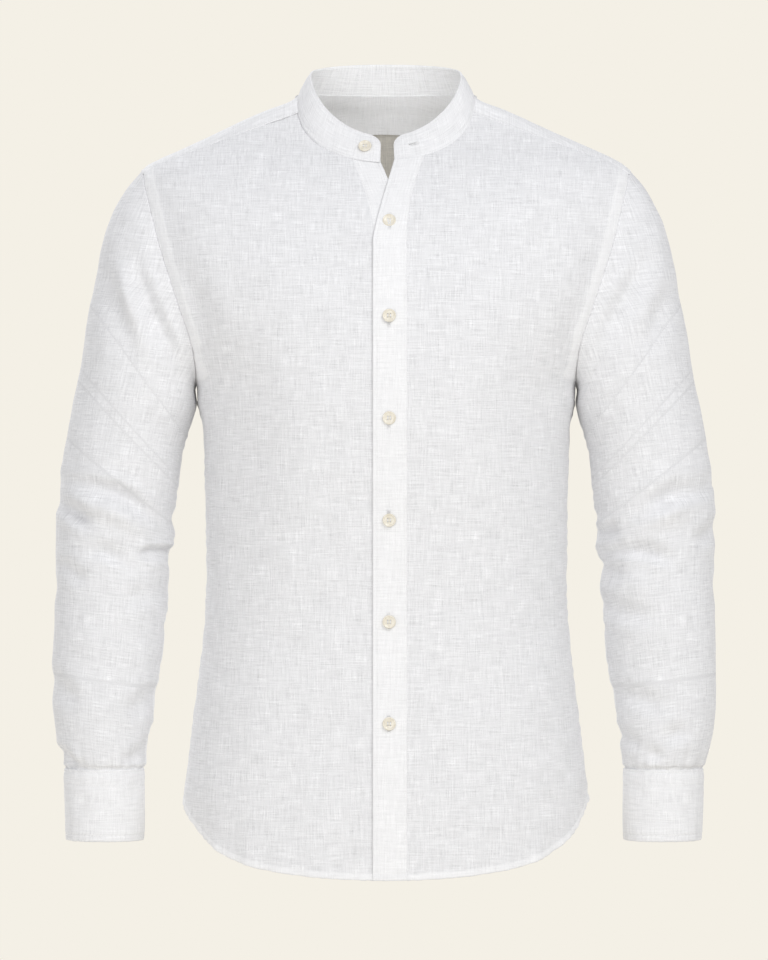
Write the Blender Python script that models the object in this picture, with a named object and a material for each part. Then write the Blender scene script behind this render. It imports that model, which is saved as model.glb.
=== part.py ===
"""Band collar linen shirt, filled out as if worn but empty, in metres with +Z up.

The origin is in the middle of the neck, level with the high point of the shoulder.
The front faces -Y and the wearer's left is +X. The torso panels are cut from one
general figure, given as a table of horizontal sections; a place on it is a turn
about the body, from 0 at the centre front to pi at the centre back, and a height.
"""
import math
from collections import namedtuple

import bmesh
import bpy
from mathutils import Vector

# Walls and gaps.
CLOTH = 0.0011
COLLAR_THICKNESS = 0.0022
CUFF_THICKNESS = 0.0022
SEAM_GAP = 0.0003
LAYER = CLOTH + SEAM_GAP
UNDER_STRIP_DEPTH = LAYER + 0.0004

# Driving sizes of the garment.
FRONT_HEM_HEIGHT = -0.7320
BACK_HEM_HEIGHT = -0.7440
SIDE_HEM_HEIGHT = -0.6650
UNDERARM_HEIGHT = -0.2700
NECK_HALF_WIDTH = 0.0845
NECK_FRONT_DEPTH = 0.0620
NECK_BACK_DEPTH = 0.0600
NECK_DROP = 0.0608
NECK_RISE = 0.0090
COLLAR_TOP_HALF_WIDTH = 0.0724
COLLAR_TOP_FRONT_DEPTH = 0.0440
COLLAR_TOP_BACK_DEPTH = 0.0490
COLLAR_TOP_SIDE_HEIGHT = 0.0235
COLLAR_TOP_FRONT_DROP = 0.0604
COLLAR_TOP_BACK_RISE = 0.0137
COLLAR_CORNER_RADIUS = 0.0110
COLLAR_CORNER_TURN = 0.155
YOKE_FRONT_TURN = math.radians(80)
YOKE_CORNER_TURN = math.radians(120)
YOKE_BACK_DROP = 0.0260
YOKE_SEAM_BEND = 1.7
CUFF_TOP_HEIGHT = -0.6333
CUFF_BOTTOM_HEIGHT = -0.7005
CUFF_HALF_WIDTH = 0.0380
CUFF_HALF_DEPTH = 0.0360
CUFF_TAPER = 0.0010
CUFF_OVERLAP = math.radians(28)
CUFF_UNDER_END = math.radians(-32)
CUFF_TUCK_TURN = math.radians(75)
SLEEVE_SWING = {"left": -0.0020, "right": 0.0020}
SLEEVE_PLACKET_ROWS = 5
SLEEVE_PLACKET_COLUMNS = (6, 8)

BUTTON_RADIUS = 0.00625
BUTTON_THICKNESS = 0.0026
BUTTON_RIM = 0.0012
BUTTON_STANDOFF = 0.0004
CUFF_BUTTON_RADIUS = 0.0056
FRONT_BUTTON_COUNT = 6
FIRST_BUTTON_HEIGHT = -0.1200
SECOND_BUTTON_HEIGHT = -0.2090
BUTTON_PITCH = 0.0945
BUTTON_LINE = 0.0029
COLLAR_BUTTON_TURN = math.radians(-14.5)
COLLAR_BUTTON_SHARE = 0.45

# How each outline is divided into faces.
PANEL_COLUMNS = 8
SIDE_ROWS = 10
FRONT_ARMHOLE_ROWS = 9
BACK_ARMHOLE_ROWS = 8
FRONT_NECK_ROWS = 5
YOKE_END_STEPS = 4
YOKE_ROWS = 4
COLLAR_ROWS = 3
PLACKET_COLUMNS = 2
CUFF_STEPS = 26
BUTTON_STEPS = 14
SHARP_EDGE = math.radians(40)

# The figure, top to bottom. Depths are measured forward and back of the origin.
SQUARENESS = 2.3
TorsoSection = namedtuple("TorsoSection", "height half_width front back")
TORSO = (
    TorsoSection(0.0100, 0.0740, 0.0000, 0.0590),
    TorsoSection(0.0000, 0.0865, 0.0000, 0.0670),
    TorsoSection(-0.0090, 0.1085, 0.0088, 0.0750),
    TorsoSection(-0.0260, 0.1470, 0.0255, 0.0865),
    TorsoSection(-0.0440, 0.1880, 0.0440, 0.0950),
    TorsoSection(-0.0608, 0.2225, 0.0622, 0.1015),
    TorsoSection(-0.0720, 0.2350, 0.0722, 0.1050),
    TorsoSection(-0.0850, 0.2395, 0.0820, 0.1088),
    TorsoSection(-0.1050, 0.2400, 0.0945, 0.1135),
    TorsoSection(-0.1300, 0.2370, 0.1065, 0.1180),
    TorsoSection(-0.1600, 0.2300, 0.1170, 0.1218),
    TorsoSection(-0.1900, 0.2190, 0.1240, 0.1242),
    TorsoSection(-0.2200, 0.2050, 0.1285, 0.1252),
    TorsoSection(-0.2480, 0.1895, 0.1305, 0.1250),
    TorsoSection(-0.2700, 0.1800, 0.1312, 0.1240),
    TorsoSection(-0.3040, 0.1748, 0.1305, 0.1205),
    TorsoSection(-0.3600, 0.1722, 0.1265, 0.1130),
    TorsoSection(-0.4200, 0.1712, 0.1210, 0.1065),
    TorsoSection(-0.4700, 0.1714, 0.1180, 0.1050),
    TorsoSection(-0.5200, 0.1750, 0.1180, 0.1080),
    TorsoSection(-0.5700, 0.1810, 0.1200, 0.1140),
    TorsoSection(-0.6200, 0.1875, 0.1220, 0.1200),
    TorsoSection(-0.6600, 0.1918, 0.1230, 0.1240),
    TorsoSection(-0.7500, 0.1920, 0.1235, 0.1260),
)

# The armhole seam, upwards from the underarm: how far out it lies in front and behind.
ArmholeStep = namedtuple("ArmholeStep", "height front back")
ARMHOLE = (
    ArmholeStep(-0.2700, 0.1800, 0.1800),
    ArmholeStep(-0.2550, 0.1790, 0.1810),
    ArmholeStep(-0.2300, 0.1830, 0.1880),
    ArmholeStep(-0.2000, 0.1930, 0.1990),
    ArmholeStep(-0.1700, 0.2030, 0.2090),
    ArmholeStep(-0.1400, 0.2125, 0.2165),
    ArmholeStep(-0.1150, 0.2190, 0.2215),
    ArmholeStep(-0.0950, 0.2240, 0.2248),
    ArmholeStep(-0.0870, 0.2262, 0.2262),
    ArmholeStep(-0.0710, 0.2290, 0.2290),
)
ARMHOLE_TOP_HEIGHT = -0.0665
YOKE_FRONT_END_HEIGHT = -0.0710
YOKE_BACK_END_HEIGHT = -0.0870

# The long edges of the two button strips: the sideways place below the opened neck,
# the place at the neck seam, and how late the edge swings from one to the other.
PlacketEdge = namedtuple("PlacketEdge", "below at_neck bend")
PLACKETS = {
    "left": {"free": PlacketEdge(-0.0120, 0.0079, 1.15), "seam": PlacketEdge(0.0190, 0.0362, 2.0)},
    "right": {"free": PlacketEdge(0.0200, -0.0054, 1.30), "seam": PlacketEdge(-0.0105, -0.0319, 1.5)},
}
OPENED_NECK_HEIGHT = -0.1370

# Sleeve sections from the shoulder down: the outer and the inner point of each ring,
# its place front to back and its half depth.
SleeveSection = namedtuple("SleeveSection", "outer_x outer_z inner_x inner_z middle_y half_depth")
SLEEVE = (
    SleeveSection(0.2300, -0.0665, 0.1800, -0.2700, 0.0000, 0.0580),
    SleeveSection(0.2408, -0.0790, 0.1815, -0.2755, -0.0005, 0.0600),
    SleeveSection(0.2520, -0.0955, 0.1820, -0.2820, -0.0010, 0.0620),
    SleeveSection(0.2618, -0.1150, 0.1826, -0.2890, -0.0015, 0.0635),
    SleeveSection(0.2685, -0.1370, 0.1832, -0.2960, -0.0020, 0.0640),
    SleeveSection(0.2740, -0.1640, 0.1845, -0.3040, -0.0025, 0.0640),
    SleeveSection(0.2790, -0.1940, 0.1885, -0.3200, -0.0030, 0.0635),
    SleeveSection(0.2845, -0.2250, 0.1935, -0.3385, -0.0030, 0.0625),
    SleeveSection(0.2905, -0.2570, 0.1955, -0.3600, -0.0030, 0.0615),
    SleeveSection(0.2975, -0.2900, 0.1990, -0.3820, -0.0030, 0.0605),
    SleeveSection(0.3040, -0.3250, 0.2010, -0.4050, -0.0030, 0.0600),
    SleeveSection(0.3090, -0.3600, 0.2030, -0.4270, -0.0030, 0.0595),
    SleeveSection(0.3122, -0.4020, 0.2055, -0.4560, -0.0045, 0.0582),
    SleeveSection(0.3122, -0.4450, 0.2070, -0.4850, -0.0075, 0.0560),
    SleeveSection(0.3130, -0.4880, 0.2100, -0.5150, -0.0110, 0.0535),
    SleeveSection(0.3145, -0.5300, 0.2140, -0.5450, -0.0145, 0.0508),
    SleeveSection(0.3140, -0.5700, 0.2185, -0.5770, -0.0180, 0.0480),
    SleeveSection(0.3100, -0.6020, 0.2225, -0.6040, -0.0205, 0.0445),
    SleeveSection(0.3045, -0.6240, 0.2252, -0.6240, -0.0222, 0.0408),
    SleeveSection(0.3022, -0.6330, 0.2266, -0.6330, -0.0228, 0.0368),
)
SLEEVE_HEAD_ROWS = 8

LINEN = ("linen", (0.86, 0.855, 0.83, 1.0), 0.85)
IVORY = ("ivory_buttons", (0.80, 0.72, 0.55, 1.0), 0.35)


# A point of a piece of cloth and the way that it faces.
Spot = namedtuple("Spot", "point normal")


def mix(start, end, share):
    return start + (end - start) * share


def read_table(rows, key, value, place):
    """The named column of a table at a place between its rows, along a smooth curve."""
    rows = sorted(rows, key=lambda row: getattr(row, key))
    places = [getattr(row, key) for row in rows]
    values = [getattr(row, value) for row in rows]
    place = min(max(place, places[0]), places[-1])
    index = 0
    while index < len(places) - 2 and place > places[index + 1]:
        index += 1

    def slope(at):
        low, high = max(at - 1, 0), min(at + 1, len(places) - 1)
        return (values[high] - values[low]) / (places[high] - places[low])

    length = places[index + 1] - places[index]
    share = (place - places[index]) / length
    square, cube = share ** 2, share ** 3
    return ((2 * cube - 3 * square + 1) * values[index]
            + (cube - 2 * square + share) * length * slope(index)
            + (3 * square - 2 * cube) * values[index + 1]
            + (cube - square) * length * slope(index + 1))


def on_figure(turn, height):
    """A point of the figure's surface."""
    half_width = read_table(TORSO, "height", "half_width", height)
    depth = read_table(TORSO, "height", "front" if math.cos(turn) > 0 else "back", height)
    across = math.copysign(abs(math.sin(turn)) ** (2 / SQUARENESS), math.sin(turn))
    along = math.copysign(abs(math.cos(turn)) ** (2 / SQUARENESS), math.cos(turn))
    return Vector((half_width * across, -depth * along, height))


def figure_normal(turn, height):
    """The figure's outward direction, by small steps along it."""
    step = 0.002
    around = on_figure(turn + step, height) - on_figure(turn - step, height)
    upward = on_figure(turn, height + step) - on_figure(turn, height - step)
    return around.cross(upward).normalized()


def turn_at(sideways, height, behind=False):
    """The turn at which the figure reaches a sideways place."""
    share = min(abs(sideways) / read_table(TORSO, "height", "half_width", height), 1.0)
    turn = math.asin(share ** (SQUARENESS / 2))
    if behind:
        turn = math.pi - turn
    return math.copysign(turn, sideways)


def neck_point(turn):
    """A point of the neck seam, at an angle about the neck."""
    across, along = math.sin(turn), math.cos(turn)
    if along > 0:
        drop = NECK_DROP * (along + 0.22 * along * (1 - along))
        return Vector((NECK_HALF_WIDTH * across, -NECK_FRONT_DEPTH * along, -drop))
    return Vector((NECK_HALF_WIDTH * across, -NECK_BACK_DEPTH * along, NECK_RISE * (1 - (1 + along) ** 5)))


def neck_turn(sideways):
    """The angle about the neck of a sideways place on its front."""
    return math.asin(sideways / NECK_HALF_WIDTH)


def hem_height(turn):
    """The shirt tail: nearly level in the middle and rising fast at the side seams."""
    across = abs(math.sin(turn)) ** (2 / SQUARENESS)
    middle = FRONT_HEM_HEIGHT if math.cos(turn) > 0 else BACK_HEM_HEIGHT
    return mix(middle, SIDE_HEM_HEIGHT, 0.35 * across ** 2 + 0.65 * across ** 8)


def placket_edge(edge, height):
    """The sideways place of a button strip's edge."""
    top = neck_point(neck_turn(edge.at_neck)).z
    share = min(max((height - OPENED_NECK_HEIGHT) / (top - OPENED_NECK_HEIGHT), 0.0), 1.0)
    return mix(edge.below, edge.at_neck, share ** edge.bend)


def placket_point(edge, share):
    """A place on a button strip's edge, from the hem (0) to the neck seam (1)."""
    at_hem = hem_height(turn_at(edge.below, FRONT_HEM_HEIGHT)) - FRONT_HEM_HEIGHT
    at_neck = neck_point(neck_turn(edge.at_neck)).z + NECK_DROP
    height = mix(FRONT_HEM_HEIGHT, -NECK_DROP, share) + at_hem * (1 - share) ** 12 + at_neck * share ** 12
    sideways = placket_edge(edge, height)
    return turn_at(sideways, height), height


def front_shares():
    """Where the rows of a front cross its button strip: close-set above the underarm."""
    chest_rows = FRONT_ARMHOLE_ROWS - FRONT_NECK_ROWS
    chest_share = 0.70
    low = [chest_share * row / SIDE_ROWS for row in range(SIDE_ROWS)]
    high = [mix(chest_share, 1.0, row / chest_rows) for row in range(chest_rows + 1)]
    return low + high


def side_heights():
    return [mix(SIDE_HEM_HEIGHT, UNDERARM_HEIGHT, row / SIDE_ROWS) for row in range(SIDE_ROWS + 1)]


def armhole_places(rows, top_height, behind):
    """Turns and heights up the armhole seam from the underarm, which is left out."""
    column = "back" if behind else "front"
    places = []
    for row in range(1, rows + 1):
        height = mix(UNDERARM_HEIGHT, top_height, math.sin(row / rows * math.pi / 2) ** 1.15)
        sideways = read_table(ARMHOLE, "height", column, height)
        places.append((turn_at(sideways, height, behind), height))
    return places


def figure_row(inner, outer, columns, settle, shape):
    """Points between two places of the figure; settle moves the first to its real place."""
    row = []
    for column in range(columns + 1):
        share = column / columns
        turn = mix(inner[0], outer[0], share)
        height = mix(inner[1], outer[1], shape(share, turn))
        row.append(Spot(on_figure(turn, height) + settle * (1 - share) ** 3, figure_normal(turn, height)))
    return row


def front_panel_spots(side):
    """One front, from its button strip and neck to its side seam and armhole."""
    sign = 1 if side == "left" else -1
    edge = PLACKETS[side]["seam"]
    inner = [placket_point(edge, share) for share in front_shares()]
    settles = [Vector() for _ in inner]
    settles[-1] = neck_point(neck_turn(edge.at_neck)) - on_figure(*inner[-1])
    for step in range(1, FRONT_NECK_ROWS + 1):
        neck = neck_point(mix(neck_turn(edge.at_neck), sign * YOKE_FRONT_TURN, step / FRONT_NECK_ROWS))
        inner.append((turn_at(neck.x, neck.z), neck.z))
        settles.append(neck - on_figure(*inner[-1]))
    outer = [(sign * math.pi / 2, height) for height in side_heights()]
    outer += [(sign * turn, height)
              for turn, height in armhole_places(FRONT_ARMHOLE_ROWS, YOKE_FRONT_END_HEIGHT, False)]
    rows = []
    for index, (start, end, settle) in enumerate(zip(inner, outer, settles)):
        tail = max(0.0, 1 - index / SIDE_ROWS)

        def shape(share, turn, start=start, end=end, tail=tail):
            bottom = hem_height(start[0])
            rise = (hem_height(turn) - bottom) / (SIDE_HEM_HEIGHT - bottom)
            return mix(share, rise, tail)
        rows.append(figure_row(start, end, PANEL_COLUMNS, settle, shape))
    return rows


def yoke_outline():
    """The yoke's outer edge from the left front over the back to the right front."""
    front_x = read_table(ARMHOLE, "height", "front", YOKE_FRONT_END_HEIGHT)
    front_turn = turn_at(front_x, YOKE_FRONT_END_HEIGHT)
    seam = back_seam_places()
    back_turn = seam[0][0]
    ends = []
    for step in range(YOKE_END_STEPS):
        turn = mix(front_turn, back_turn, step / YOKE_END_STEPS)
        if turn < math.pi / 2:
            height = mix(YOKE_FRONT_END_HEIGHT, ARMHOLE_TOP_HEIGHT,
                         math.sin((turn - front_turn) / (math.pi / 2 - front_turn) * math.pi / 2))
        else:
            height = mix(ARMHOLE_TOP_HEIGHT, YOKE_BACK_END_HEIGHT,
                         ((turn - math.pi / 2) / (back_turn - math.pi / 2)) ** 1.6)
        ends.append((turn, height))
    right_end = [(2 * math.pi - turn, height) for turn, height in reversed(ends)]
    return ends + seam + right_end


def back_seam_places():
    """The seam of the yoke and the back, from the left armhole to the right."""
    back_x = read_table(ARMHOLE, "height", "back", YOKE_BACK_END_HEIGHT)
    start = turn_at(back_x, YOKE_BACK_END_HEIGHT, True)
    places = []
    for column in range(2 * PANEL_COLUMNS + 1):
        share = column / (2 * PANEL_COLUMNS)
        turn = mix(start, 2 * math.pi - start, share)
        height = mix(-YOKE_BACK_DROP, YOKE_BACK_END_HEIGHT, abs(2 * share - 1) ** YOKE_SEAM_BEND)
        places.append((turn, height))
    return places


def yoke_columns():
    """The yoke in lines from the neck seam outwards, left front seam to right front seam."""
    outline = yoke_outline()
    last = len(outline) - 1
    front, corner = neck_point(YOKE_FRONT_TURN), neck_point(YOKE_CORNER_TURN)
    around = [YOKE_FRONT_TURN, YOKE_CORNER_TURN]
    around += [2 * math.pi - around[1], 2 * math.pi - around[0]]
    turns = [turn_at(front.x, front.z), turn_at(corner.x, corner.z, True)]
    turns += [2 * math.pi - turns[1], 2 * math.pi - turns[0]]
    indexes = [0, YOKE_END_STEPS, last - YOKE_END_STEPS, last]
    columns = []
    for index, place in enumerate(outline):
        part = 0 if index <= indexes[1] else 1 if index <= indexes[2] else 2
        share = (index - indexes[part]) / (indexes[part + 1] - indexes[part])
        neck = neck_point(mix(around[part], around[part + 1], share))
        inner = (mix(turns[part], turns[part + 1], share), neck.z)
        settle = neck - on_figure(*inner)
        columns.append(figure_row(inner, place, YOKE_ROWS, settle, lambda share, turn: share))
    return columns


def back_panel_spots():
    """The back, from the left side seam and armhole to the right ones."""
    seam = back_seam_places()
    places = [(math.pi / 2, height) for height in side_heights()]
    places += armhole_places(BACK_ARMHOLE_ROWS, YOKE_BACK_END_HEIGHT, True)
    middle_top = seam[PANEL_COLUMNS][1]
    rows = []
    for index, (turn, height) in enumerate(places):
        tail = max(0.0, 1 - index / SIDE_ROWS)
        rise = max(0.0, (index - SIDE_ROWS) / BACK_ARMHOLE_ROWS)
        middle_height = mix(BACK_HEM_HEIGHT, UNDERARM_HEIGHT, index / SIDE_ROWS)
        if index > SIDE_ROWS:
            middle_height = mix(UNDERARM_HEIGHT, middle_top, rise)
        row = []
        for column in range(2 * PANEL_COLUMNS + 1):
            share = column / (2 * PANEL_COLUMNS)
            at = mix(turn, 2 * math.pi - turn, share)
            out = abs(2 * share - 1)
            hem_rise = (hem_height(at) - BACK_HEM_HEIGHT) / (SIDE_HEM_HEIGHT - BACK_HEM_HEIGHT)
            level = mix(middle_height, height, mix(out ** YOKE_SEAM_BEND, hem_rise, tail))
            row.append(Spot(on_figure(at, level), figure_normal(at, level)))
        rows.append(row)
    return rows


def placket_spots(side):
    """A button strip: a row for each crossing of its front, from the free edge to the seam."""
    free, seam = PLACKETS[side]["free"], PLACKETS[side]["seam"]
    rows = []
    for share in front_shares():
        row = []
        for column in range(PLACKET_COLUMNS + 1):
            across = column / PLACKET_COLUMNS
            edge = PlacketEdge(*(mix(a, b, across) for a, b in zip(free, seam)))
            place = placket_point(edge, share)
            point = on_figure(*place) if share < 1 else neck_point(neck_turn(edge.at_neck))
            row.append(Spot(point, figure_normal(*place)))
        rows.append(row)
    return rows


def collar_turns():
    """Angles about the neck of the collar's columns, matching the pieces that it is sewn to."""
    left_free, left_seam = (neck_turn(PLACKETS["left"][name].at_neck) for name in ("free", "seam"))
    right_free, right_seam = (neck_turn(PLACKETS["right"][name].at_neck) for name in ("free", "seam"))
    corner = COLLAR_CORNER_TURN
    turns = [left_free + corner * share for share in (0.0, 0.12, 0.4, 1.0)]
    turns.append(mix(left_free + corner, left_seam, 0.5))
    turns += [mix(left_seam, YOKE_FRONT_TURN, step / FRONT_NECK_ROWS) for step in range(FRONT_NECK_ROWS)]
    steps = len(yoke_outline()) - 1
    turns += [mix(YOKE_FRONT_TURN, 2 * math.pi - YOKE_FRONT_TURN, step / steps) for step in range(steps + 1)]
    turns += [2 * math.pi + mix(-YOKE_FRONT_TURN, right_seam, step / FRONT_NECK_ROWS)
              for step in range(1, FRONT_NECK_ROWS + 1)]
    turns.append(2 * math.pi + mix(right_free - corner, right_seam, 0.5))
    turns += [2 * math.pi + right_free - corner * share for share in (1.0, 0.4, 0.12, 0.0)]
    return turns


def collar_top(turn):
    """A point of the collar's top edge before its corners are rounded."""
    across, along = math.sin(turn), math.cos(turn)
    if along > 0:
        height = COLLAR_TOP_SIDE_HEIGHT - COLLAR_TOP_FRONT_DROP * along ** 1.25
        return Vector((COLLAR_TOP_HALF_WIDTH * across, -COLLAR_TOP_FRONT_DEPTH * along, height))
    height = COLLAR_TOP_SIDE_HEIGHT + COLLAR_TOP_BACK_RISE * (-along) ** 0.7
    return Vector((COLLAR_TOP_HALF_WIDTH * across, -COLLAR_TOP_BACK_DEPTH * along, height))


def collar_columns():
    """The band collar from its seam up, with rounded ends 12 mm apart."""
    turns = collar_turns()
    columns = []
    for turn in turns:
        bottom = neck_point(turn)
        top = collar_top(turn)
        from_end = COLLAR_CORNER_RADIUS * min(turn - turns[0], turns[-1] - turn) / COLLAR_CORNER_TURN
        height = (top - bottom).length
        if from_end < COLLAR_CORNER_RADIUS:
            cut = COLLAR_CORNER_RADIUS - from_end
            height -= COLLAR_CORNER_RADIUS - math.sqrt(COLLAR_CORNER_RADIUS ** 2 - cut ** 2)
        way = (top - bottom).normalized()
        columns.append([bottom + way * (height * row / COLLAR_ROWS) for row in range(COLLAR_ROWS + 1)])
    return columns


def armhole_loop():
    """The left armhole seam, from the underarm up the front, over the yoke and down the back."""
    front = [(math.pi / 2, UNDERARM_HEIGHT)]
    front += armhole_places(FRONT_ARMHOLE_ROWS, YOKE_FRONT_END_HEIGHT, False)
    back = armhole_places(BACK_ARMHOLE_ROWS, YOKE_BACK_END_HEIGHT, True)
    over = yoke_outline()[1:YOKE_END_STEPS]
    return [Spot(on_figure(*place), figure_normal(*place)) for place in front + over + back[::-1]]


def sleeve_rings():
    """Rings of the left sleeve: the first lies along the armhole seam, the last on the cuff."""
    loop = armhole_loop()
    count = len(loop)
    middle = sum((spot.point for spot in loop), Vector()) / count
    lengths = [0.0]
    for index in range(count):
        lengths.append(lengths[-1] + (loop[(index + 1) % count].point - loop[index].point).length)
    angles = [math.pi - 2 * math.pi * length / lengths[-1] for length in lengths[:-1]]
    rings = []
    for section in SLEEVE:
        outer = Vector((section.outer_x, section.middle_y, section.outer_z))
        inner = Vector((section.inner_x, section.middle_y, section.inner_z))
        centre = (outer + inner) / 2
        reach = (outer - inner) / 2
        rings.append([centre + reach * math.cos(angle) + Vector((0, -section.half_depth * math.sin(angle), 0))
                      for angle in angles])
    settles = [spot.point - ring_point for spot, ring_point in zip(loop, rings[0])]
    for row in range(SLEEVE_HEAD_ROWS):
        weight = (1 - row / SLEEVE_HEAD_ROWS) ** 2
        rings[row] = [point + settle * weight for point, settle in zip(rings[row], settles)]
    for index, spot in enumerate(loop):
        into_hole = middle - spot.point
        into_hole = (into_hole - spot.normal * into_hole.dot(spot.normal)).normalized()
        rings[0][index] = spot.point + (into_hole + spot.normal) * SEAM_GAP
    return rings


def spots_of(grid, ring=False):
    """The grid's points with the way that the grid faces at each."""
    rows, columns = len(grid), len(grid[0])
    spots = []
    for row in range(rows):
        line = []
        for column in range(columns):
            before, after = (column - 1) % columns, (column + 1) % columns
            if not ring:
                before, after = max(column - 1, 0), min(column + 1, columns - 1)
            across = grid[row][after] - grid[row][before]
            along = grid[min(row + 1, rows - 1)][column] - grid[max(row - 1, 0)][column]
            line.append(Spot(grid[row][column], across.cross(along).normalized()))
        spots.append(line)
    return spots


def sunk(spots, depth_at):
    """The spots moved inwards, by a depth for each row and column."""
    return [[Spot(spot.point - spot.normal * depth_at(row, column), spot.normal)
             for column, spot in enumerate(line)] for row, line in enumerate(spots)]


def mirrored(spots):
    """The spots on the wearer's other side, in an order that still faces out."""
    flip = Vector((-1, 1, 1))
    return [[Spot(spot.point * flip, spot.normal * flip) for spot in line[::-1]] for line in spots]


def drawn_in(edge, inside, gap):
    """A spot moved towards the spot inside it."""
    return Spot(edge.point + (inside.point - edge.point).normalized() * gap, edge.normal)


def trimmed(spots, edges, rows=None, gap=SEAM_GAP / 2):
    """The spots with a gap taken off the named edges; rows limits the columns' stretch."""
    spots = [list(line) for line in spots]
    first_row, second_row, last_row, row_before = spots[0], spots[1], spots[-1], spots[-2]
    if "first_row" in edges:
        spots[0] = [drawn_in(edge, inside, gap) for edge, inside in zip(first_row, second_row)]
    if "last_row" in edges:
        spots[-1] = [drawn_in(edge, inside, gap) for edge, inside in zip(last_row, row_before)]
    for line in spots[slice(*(rows or (0, None)))]:
        if "first_column" in edges:
            line[0] = drawn_in(line[0], line[1], gap)
        if "last_column" in edges:
            line[-1] = drawn_in(line[-1], line[-2], gap)
    return spots


def material(finish):
    name, colour, roughness = finish
    found = bpy.data.materials.get(name)
    if found:
        return found
    made = bpy.data.materials.new(name)
    made.use_nodes = True
    shader = made.node_tree.nodes["Principled BSDF"]
    shader.inputs["Base Color"].default_value = colour
    shader.inputs["Roughness"].default_value = roughness
    shader.inputs["Metallic"].default_value = 0.0
    return made


def add_object(name, mesh, finish):
    mesh.shade_smooth()
    mesh.set_sharp_from_angle(angle=SHARP_EDGE)
    mesh.materials.append(material(finish))
    made = bpy.data.objects.new(name, mesh)
    bpy.context.collection.objects.link(made)
    return made


def cloth_wall(name, spots, thickness, ring=False, like=None):
    """A wall whose outer face is the spots: rows go along the cloth, columns round it.

    Each four-sided face is cut along its outer diagonal, or as in the layer that it is like.
    """
    rows, columns = len(spots), len(spots[0])
    like = like or spots
    form = bmesh.new()
    outer = [[form.verts.new(spot.point) for spot in line] for line in spots]
    inner = [[form.verts.new(spot.point - spot.normal * thickness) for spot in line] for line in spots]
    steps = columns if ring else columns - 1
    for row in range(rows - 1):
        for column in range(steps):
            after = (column + 1) % columns
            corners = ((row, column), (row, after), (row + 1, after), (row + 1, column))
            a, b, c, d = (like[at_row][at_column] for at_row, at_column in corners)
            facing = a.normal + b.normal + c.normal + d.normal
            bulge = (a.point + c.point - b.point - d.point).dot(facing)
            halves = ((0, 1, 2), (0, 2, 3)) if bulge > 0 else ((0, 1, 3), (1, 2, 3))
            for half in halves:
                form.faces.new([outer[corners[i][0]][corners[i][1]] for i in half])
                form.faces.new([inner[corners[i][0]][corners[i][1]] for i in half[::-1]])
    for column in range(steps):
        after = (column + 1) % columns
        form.faces.new((outer[0][column], inner[0][column], inner[0][after], outer[0][after]))
        form.faces.new((outer[-1][column], outer[-1][after], inner[-1][after], inner[-1][column]))
    if not ring:
        for row in range(rows - 1):
            form.faces.new((outer[row][0], outer[row + 1][0], inner[row + 1][0], inner[row][0]))
            form.faces.new((outer[row][-1], inner[row][-1], inner[row + 1][-1], outer[row + 1][-1]))
    bmesh.ops.recalc_face_normals(form, faces=form.faces)
    mesh = bpy.data.meshes.new(name)
    form.to_mesh(mesh)
    form.free()
    return add_object(name, mesh, LINEN)


def add_fronts():
    """The right front dips towards its button strip, which lies under the left one."""
    left = front_panel_spots("left")
    right = [line[::-1] for line in front_panel_spots("right")]
    last_column = PANEL_COLUMNS
    right = sunk(right, lambda row, column: UNDER_STRIP_DEPTH * max(0.0, 1 - (last_column - column) / 3))
    left = trimmed(trimmed(left, ("first_column", "last_row")), ("last_column",), (0, SIDE_ROWS + 1))
    right = trimmed(trimmed(right, ("last_column", "last_row")), ("first_column",), (0, SIDE_ROWS + 1))
    cloth_wall("front_left", left, CLOTH)
    cloth_wall("front_right", right, CLOTH)


def add_plackets():
    left = trimmed(placket_spots("left"), ("last_column", "last_row"))
    right = [line[::-1] for line in placket_spots("right")]
    right = sunk(right, lambda row, column: UNDER_STRIP_DEPTH)
    cloth_wall("placket_left", left, CLOTH)
    cloth_wall("placket_right", trimmed(right, ("first_column", "last_row")), CLOTH)


def add_back_and_yoke():
    back = trimmed(back_panel_spots(), ("last_row",))
    cloth_wall("back", trimmed(back, ("first_column", "last_column"), (0, SIDE_ROWS + 1)), CLOTH)
    columns = yoke_columns()
    spots = [[column[row] for column in columns] for row in range(YOKE_ROWS + 1)][::-1]
    edges = ("first_row", "last_row", "first_column", "last_column")
    cloth_wall("yoke", trimmed(spots, edges), CLOTH)
    inner = trimmed(sunk(spots, lambda row, column: LAYER), edges)
    cloth_wall("yoke_inner", inner, CLOTH, like=trimmed(spots, edges))


def add_collar():
    columns = collar_columns()
    grid = [[column[row] for column in columns] for row in range(COLLAR_ROWS + 1)]
    cloth_wall("collar_band", trimmed(spots_of(grid), ("first_row",), gap=SEAM_GAP), COLLAR_THICKNESS)


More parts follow.
